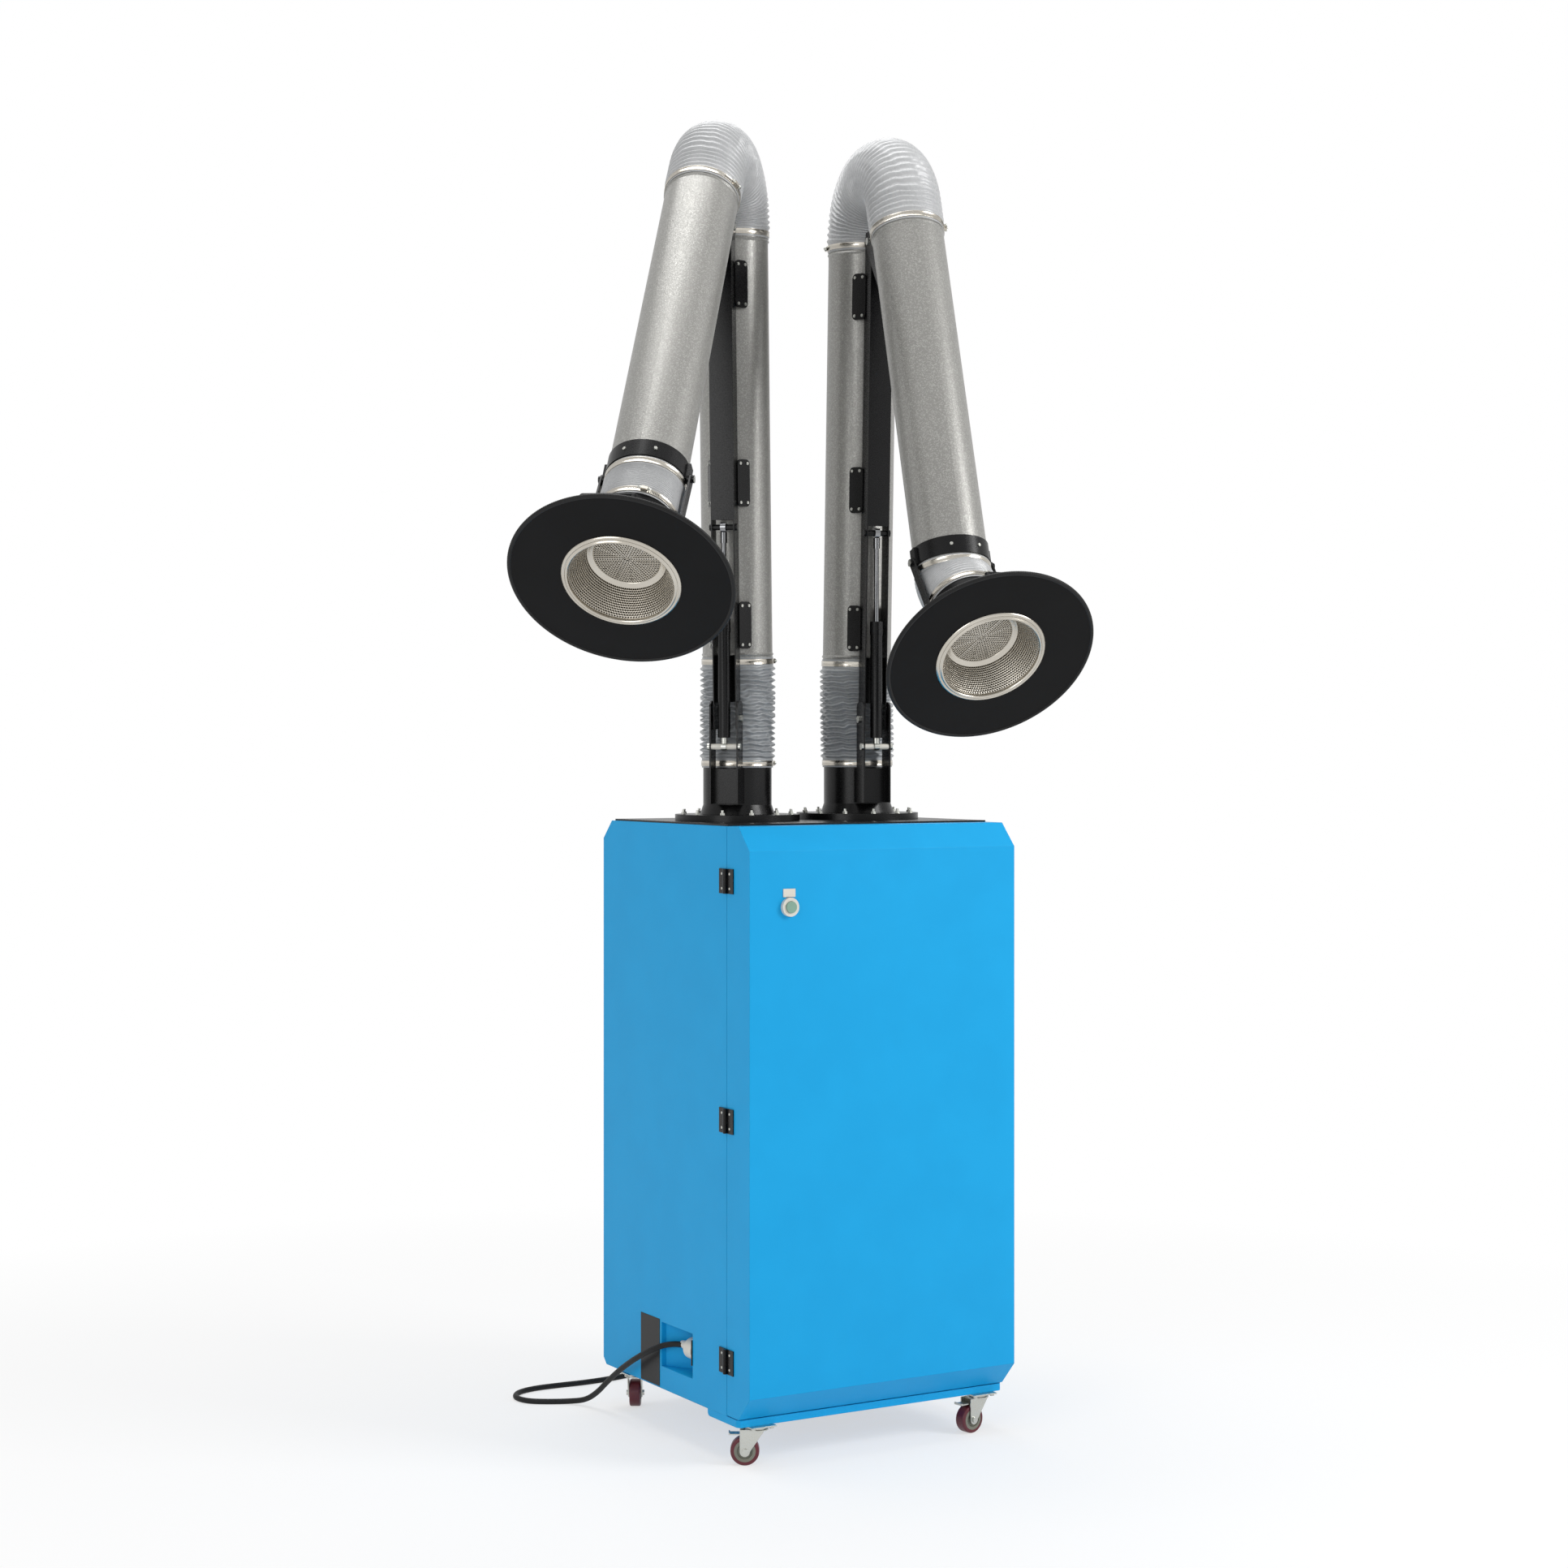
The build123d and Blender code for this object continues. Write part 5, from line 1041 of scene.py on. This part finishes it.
for side, chain in arms.items():
    matrix = chain["hood"]
    slope = hypot(DEPTH, MOUTH_RADIUS - END_RADIUS)

    def on_wall(angle, along):
        """A point of the tapered wall and its radius, by angle and distance from the mouth."""
        share = along / slope
        radius = MOUTH_RADIUS + (END_RADIUS - MOUTH_RADIUS) * share
        return matrix @ radial(radius, angle, FACE + DEPTH * share), radius

    def on_disc(angle, radius):
        """A point of the end disc and its radius, by angle and radius."""
        return matrix @ radial(radius, angle, BACK), radius

    wall_rows = int((slope - 2 * WALL_EDGE) / HOLE_PITCH)
    wall_cells = int(2 * pi * MOUTH_RADIUS * WALL_SHARE / HOLE_PITCH)
    rows = [
        (WALL_EDGE + row * HOLE_PITCH, WALL_EDGE + (row + 1) * HOLE_PITCH, wall_cells)
        for row in range(wall_rows)
    ]
    wall = perforated("wall", rows, on_wall, stainless_steel)
    disc_rings = int((DISC_RADIUS - HOLE_PITCH / 2) / HOLE_PITCH)
    rows = [
        (HOLE_PITCH * (ring - 0.5), HOLE_PITCH * (ring + 0.5), 6 * ring)
        for ring in range(1, disc_rings + 1)
    ]
    disc = perforated("disc", rows, on_disc, stainless_steel)
    hub = lathe("hub", outline_at(0, BACK, HUB), stainless_steel, matrix, around=12)
    ring_outline = outline_at(HOLE_PITCH * (disc_rings + 0.5), BACK, RING_INNER)
    ring_outline += outline_at(END_RADIUS, BACK, RING_OUTER)
    end_ring = lathe("end_ring", ring_outline, stainless_steel, matrix)
    lip = lathe("lip", outline_at(MOUTH_RADIUS, FACE, LIP), stainless_steel, matrix, around=128)
    basket = join(f"{side}_inlet_basket", [wall, disc, hub, end_ring, lip])
    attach(basket, f"{side}_hood")
    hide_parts(f"{side}_hood_basket")
    print(side, "basket", wall_rows, "rows of", wall_cells, "holes and", disc_rings, "rings")

# %% [markdown]
# ## Edge trim of the hoods
# The hood's cut edge is covered with a push-on rubber trim. Steel clips inside it show through
# as fine cross ribs, 5 mm apart.

# %% Hood edge trim
TRIM_RADIUS = 220.2
TRIM_THICK = 4.7
TRIM_UP = 3.0
TRIM_STEPS = 14
TRIM_RIBS = 276
RIB_RISE = 0.28
RIB_RISE_INSIDE = 0.3          # share of the rise on the inner side


def clip_ribs(angle, radius, height):
    """The push of the clips through the rubber."""
    return RIB_RISE * cos(TRIM_RIBS * angle) * (1 if radius > TRIM_RADIUS else RIB_RISE_INSIDE)


turns_of_trim = [2 * pi * step / TRIM_STEPS for step in range(TRIM_STEPS)]
trim_outline = outline_at(
    TRIM_RADIUS, FACE + TRIM_UP,
    [(TRIM_THICK * cos(angle), TRIM_THICK * sin(angle)) for angle in turns_of_trim],
)
for side, chain in arms.items():
    trim = lathe(f"{side}_hood_edge_trim", trim_outline, black_rubber, chain["hood"],
                 around=TRIM_RIBS * 4, wave=clip_ribs)
    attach(trim, f"{side}_hood")
print("trim ribs", TRIM_RIBS)

# %% [markdown]
# ## Finishes of the arms and castors
# These solids hold pieces of different stuff, so their faces are told apart by distance from an
# axis: pins, screws and the turntable's studs are zinc, the gas spring's spacers are pale nylon,
# and each wheel is a red tyre on a grey hub. Each test takes a face's middle in mm in one frame.

# %% Arms
SPRING_FOOT = (22.0, -63.0)
SPACER = (8.0, 29.4)           # radius, and half its length
FERRULE = 24.0
PIN = 9.0
PIN_START = 32.8               # from the arm's middle plane
BAR_PIN = 6.5
STRAP_NEAR = Vector((-14.0, 27.0))
STRAP_FAR = Vector((80.3 * cos(radians(35)) - TUBE_BEHIND_PIN, 80.3 * sin(radians(35))))
STRAP_HEIGHTS = (210.0, 530.0, 975.0)
STRAP_SCREW_UP = 44.0
STRAP_SCREW_IN = 9.0
STRAP_FACE = 3.1
SCREW = 4.0
BAND_FACE = 83.9
BAND_SCREW_UP = 15.0
BAND_SCREW_REACH = 80.0


def from_foot(x, z):
    """The distance from the axis of the gas spring's foot."""
    return hypot(x - SPRING_FOOT[0], z - SPRING_FOOT[1])


def is_spacer(x, y, z):
    return from_foot(x, z) < SPACER[0] and abs(y) < SPACER[1]


def is_ferrule(x, y, z):
    return from_foot(x, z) < FERRULE


def is_collar_pin(x, y, z):
    return min(from_foot(x, z), hypot(x, z)) < PIN and abs(y) > PIN_START


def is_strap_screw(x, y, z):
    spot = Vector((x, abs(y))) - STRAP_NEAR
    strap = STRAP_FAR - STRAP_NEAR
    across = spot.dot(strap.normalized()) - strap.length / 2
    off = abs(spot.x * strap.y - spot.y * strap.x) / strap.length
    at_end = min(abs(abs(z - middle) - STRAP_SCREW_UP) for middle in STRAP_HEIGHTS)
    at_side = abs(abs(across) - strap.length / 2 + STRAP_SCREW_IN)
    return at_side < SCREW and at_end < SCREW and off > STRAP_FACE


def is_elbow_pin(x, y, z):
    return hypot(x, z) < PIN


def is_band_screw(x, y, z):
    at_height = abs(z - BAND_SCREW_UP) < SCREW
    return hypot(x, y) > BAND_FACE and at_height and abs(y) < BAND_SCREW_REACH


def is_bar_pin(x, y, z):
    return min(hypot(x, z), hypot(x, z + BAR_LENGTH)) < BAR_PIN


for side, chain in arms.items():
    collar_rules = (
        (pale_plastic, chain["shoulder"], is_spacer),
        (zinc_plate, chain["shoulder"], is_collar_pin),
    )
    arm_finishes = (
        ("swivel_collar", black_powder_coat, *collar_rules),
        ("lower_tube", hammertone),
        ("upper_tube", hammertone),
        ("arm_channel", black_powder_coat, (zinc_plate, chain["lower"], is_strap_screw)),
        ("gas_cylinder", black_powder_coat, (zinc_plate, chain["shoulder"], is_ferrule)),
        ("gas_rod", polished_chrome),
        ("elbow_bracket", black_powder_coat, (zinc_plate, chain["upper"], is_elbow_pin)),
        ("wrist_band", black_powder_coat, (zinc_plate, chain["band"], is_band_screw)),
        ("wrist_bars", black_powder_coat, (zinc_plate, chain["bars"], is_bar_pin)),
        ("hood_flange", black_hood_enamel),
    )
    for name, *finishes in arm_finishes:
        dress(f"{side}_{name}", *finishes)
print("arm nodes dressed")

# %% [markdown]
# A castor's wheel trails behind its swivel axis, so the wheel's axis is found from the castor's
# place and the way it points.

# %% Turntables and castors
DRAWING = Matrix.Translation(ORIGIN_SHIFT)
STUD_CIRCLE = 127.0
STUD_HALF = 7.0
STUD_FOOT = TOP_OF_BODY + 18.8
CASTOR_PLACES = {
    "front_left": (-290.0, -332.0, 149.5),
    "front_right": (290.0, -332.0, 189.0),
    "rear_left": (-290.0, 245.0, 59.0),
    "rear_right": (290.0, 245.0, 172.0),
}
WHEEL_HUB = 23.6
CASTOR_TRAIL = 27.0
WHEEL_HEIGHT = 31.5


def is_stud(x, y, z):
    off = hypot(abs(x) - ARM_AWAY, y - ARM_BACK) - STUD_CIRCLE
    return abs(off) < STUD_HALF and z > STUD_FOOT


def is_hub(x, y, z):
    return hypot(x, z) < WHEEL_HUB


dress("turntables", black_powder_coat, (zinc_plate, DRAWING, is_stud))
for name, (x, y, heading) in CASTOR_PLACES.items():
    axle = Matrix.Translation(place(x, y, WHEEL_HEIGHT)) @ turned(heading, "Z")
    wheel = axle @ moved(CASTOR_TRAIL, 0)
    dress(f"{name}_castor_wheel", red_polyurethane, (hub_plastic, wheel, is_hub))
    dress(f"{name}_castor_fork", zinc_plate)
    if name.startswith("front"):
        dress(f"{name}_brake_pedal", zinc_plate)
print("castors", len(CASTOR_PLACES))

# %% [markdown]
# ## Small things on the cabinet
# The button's bezel and the label holder above it are pale mouldings, the hinges are black, and
# their screws are zinc. A bare black plate is glued beside the mains recess, and a foam rubber
# seal fills the seam between the door and the body.

# %% Door fittings, plate and seal
SIDE_FACE = -346.0
BODY_FOOT = 104.0
BUTTON = place(SIDE_FACE + 98.0, -396.0, BODY_FOOT + 1107.0)
BEZEL = 21.5
LABEL_HALF = 20.0
LABEL_TOP = 48.0
BEHIND_DOOR = 40.0
HINGES = (119.0, 641.0, 1161.0)
HINGE_SEAM = -296.75
HINGE_SCREW = (17.0, 16.0)     # from the seam, and from the hinge's middle
HINGE_SCREW_HALF = 3.4
HINGE_LEAF = 2.6
LEAF_REACH = 6.0
PLATE = ((-346.9, 13, 106), (-346.05, 105, 259))
SEAL_Y = (-297.35, -296.1)
SEAL_FOOT = 113.0
SEAL = (
    ((-337, 0), (-327, 1262)), ((327, 0), (337, 1262)), ((-337, 0), (337, 10)),
    ((-337, 1252), (337, 1262)),
)


def is_bezel(x, y, z):
    return hypot(x, z) < BEZEL and y < BEHIND_DOOR


def is_label(x, y, z):
    return abs(x) < LABEL_HALF and BEZEL < z < LABEL_TOP and y < BEHIND_DOOR


def is_hinge_screw(x, y, z):
    off_seam = abs(abs(y - HINGE_SEAM) - HINGE_SCREW[0])
    up = min(abs(abs(z - BODY_FOOT - middle) - HINGE_SCREW[1]) for middle in HINGES)
    on_leaf = x < SIDE_FACE - HINGE_LEAF and abs(x - SIDE_FACE) < LEAF_REACH
    return on_leaf and max(off_seam, up) < HINGE_SCREW_HALF


button = Matrix.Translation(BUTTON)
hinge_screws = (zinc_plate, DRAWING, is_hinge_screw)
dress("door_fittings", black_powder_coat, (pale_plastic, button, is_bezel),
      (pale_plastic, button, is_label), hinge_screws)
dress("hinge_frame_leaves", black_powder_coat, hinge_screws)

rating_plate = block("rating_plate", *PLATE, bare_black_plate, DRAWING, edge=0.25)
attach(rating_plate, "cabinet")

seal_strips = []
for low, high in SEAL:
    first = (low[0], SEAL_Y[0], SEAL_FOOT + low[1])
    last = (high[0], SEAL_Y[1], SEAL_FOOT + high[1])
    seal_strips.append(block("strip", first, last, black_rubber, DRAWING, edge=0.3))
door_seal = join("door_seal", seal_strips)
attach(door_seal, "cabinet")
print("small pieces made")

# %% [markdown]
# ## Studio
# The photograph has a white background, a soft shadow under the machine and large soft lamps.
# The floor is pale and takes the shadow; far from the machine it fades into the white
# surroundings. The world is white where a camera or a reflection sees it, and gives only a
# moderate fill light to everything else, so that pale surfaces keep their tone.

# %% Floor and world
FLOOR_HALF = 40.0
FADE_SHARE = (0.6, 1.0)
FADE_RUN = (0.9, 3.4)          # metres from the machine
FILL = 0.42
GLOSS = 0.75

floor_mesh = bpy.data.meshes.new("studio_floor")
floor_mesh.from_pydata(
    [(-FLOOR_HALF, -FLOOR_HALF, 0), (FLOOR_HALF, -FLOOR_HALF, 0), (FLOOR_HALF, FLOOR_HALF, 0),
     (-FLOOR_HALF, FLOOR_HALF, 0)], [], [(0, 1, 2, 3)],
)
floor = shown("studio_floor", floor_mesh)

floor_material, tree = new_material("white_studio_floor")
coordinate = add_node(tree, "TexCoord")
distance = add_node(tree, "VectorMath", {0: coordinate.outputs["Object"]}, operation="LENGTH")
fade = between(tree, distance.outputs["Value"], *FADE_SHARE, *FADE_RUN)
paths = add_node(tree, "LightPath")
seen = add_node(
    tree, "Math",
    {0: paths.outputs["Is Camera Ray"], 1: paths.outputs["Is Glossy Ray"]}, operation="MAXIMUM",
)
share = add_node(tree, "Math", {0: seen.outputs["Value"], 1: fade}, operation="MULTIPLY")
pale = add_node(tree, "BsdfDiffuse", {"Color": linear("#FAFAFA")})
white = add_node(tree, "Emission", {"Color": (1, 1, 1, 1), "Strength": 1.0})
mixed = add_node(
    tree, "MixShader",
    {0: share.outputs["Value"], 1: pale.outputs["BSDF"], 2: white.outputs["Emission"]},
)
add_node(tree, "OutputMaterial", {"Surface": mixed.outputs["Shader"]})
floor_mesh.materials.append(floor_material)

world = bpy.data.worlds.new("white_studio")
world.use_nodes = True
world.node_tree.nodes.clear()
tree = world.node_tree
paths = add_node(tree, "LightPath")
seen = add_node(
    tree, "Math",
    {0: paths.outputs["Is Camera Ray"], 1: paths.outputs["Is Transmission Ray"]},
    operation="MAXIMUM",
)
gloss = between(tree, paths.outputs["Is Glossy Ray"], FILL, GLOSS, 0.0, 1.0)
strength = add_node(tree, "Math", {0: seen.outputs["Value"], 1: gloss}, operation="MAXIMUM")
background = add_node(
    tree, "Background", {"Color": (1, 1, 1, 1), "Strength": strength.outputs["Value"]}
)
add_node(tree, "OutputWorld", {"Surface": background.outputs["Background"]})
bpy.context.scene.world = world
bpy.context.scene.view_settings.view_transform = "Standard"

# %% [markdown]
# Three soft boxes light the machine: a key from the right, a weaker fill from the left, and one
# from above. All of them point at the middle of the machine.

# %% Lamps
LAMPS = (
    ("key_softbox", (3.4, -3.6, 3.6), 2.2, 150.0),
    ("fill_softbox", (-4.4, -2.6, 2.6), 2.6, 60.0),
    ("top_softbox", (0.0, 0.6, 5.4), 3.0, 110.0),
)
TARGET = Vector((0.0, 0.0, 1.3))
for name, spot_of_lamp, size, power in LAMPS:
    lamp_data = bpy.data.lights.new(name, "AREA")
    lamp_data.size = size
    lamp_data.energy = power
    lamp = shown(name, lamp_data)
    lamp.location = spot_of_lamp
    lamp.rotation_euler = (TARGET - Vector(spot_of_lamp)).to_track_quat("-Z", "Y").to_euler()
print("lamps", len(LAMPS))
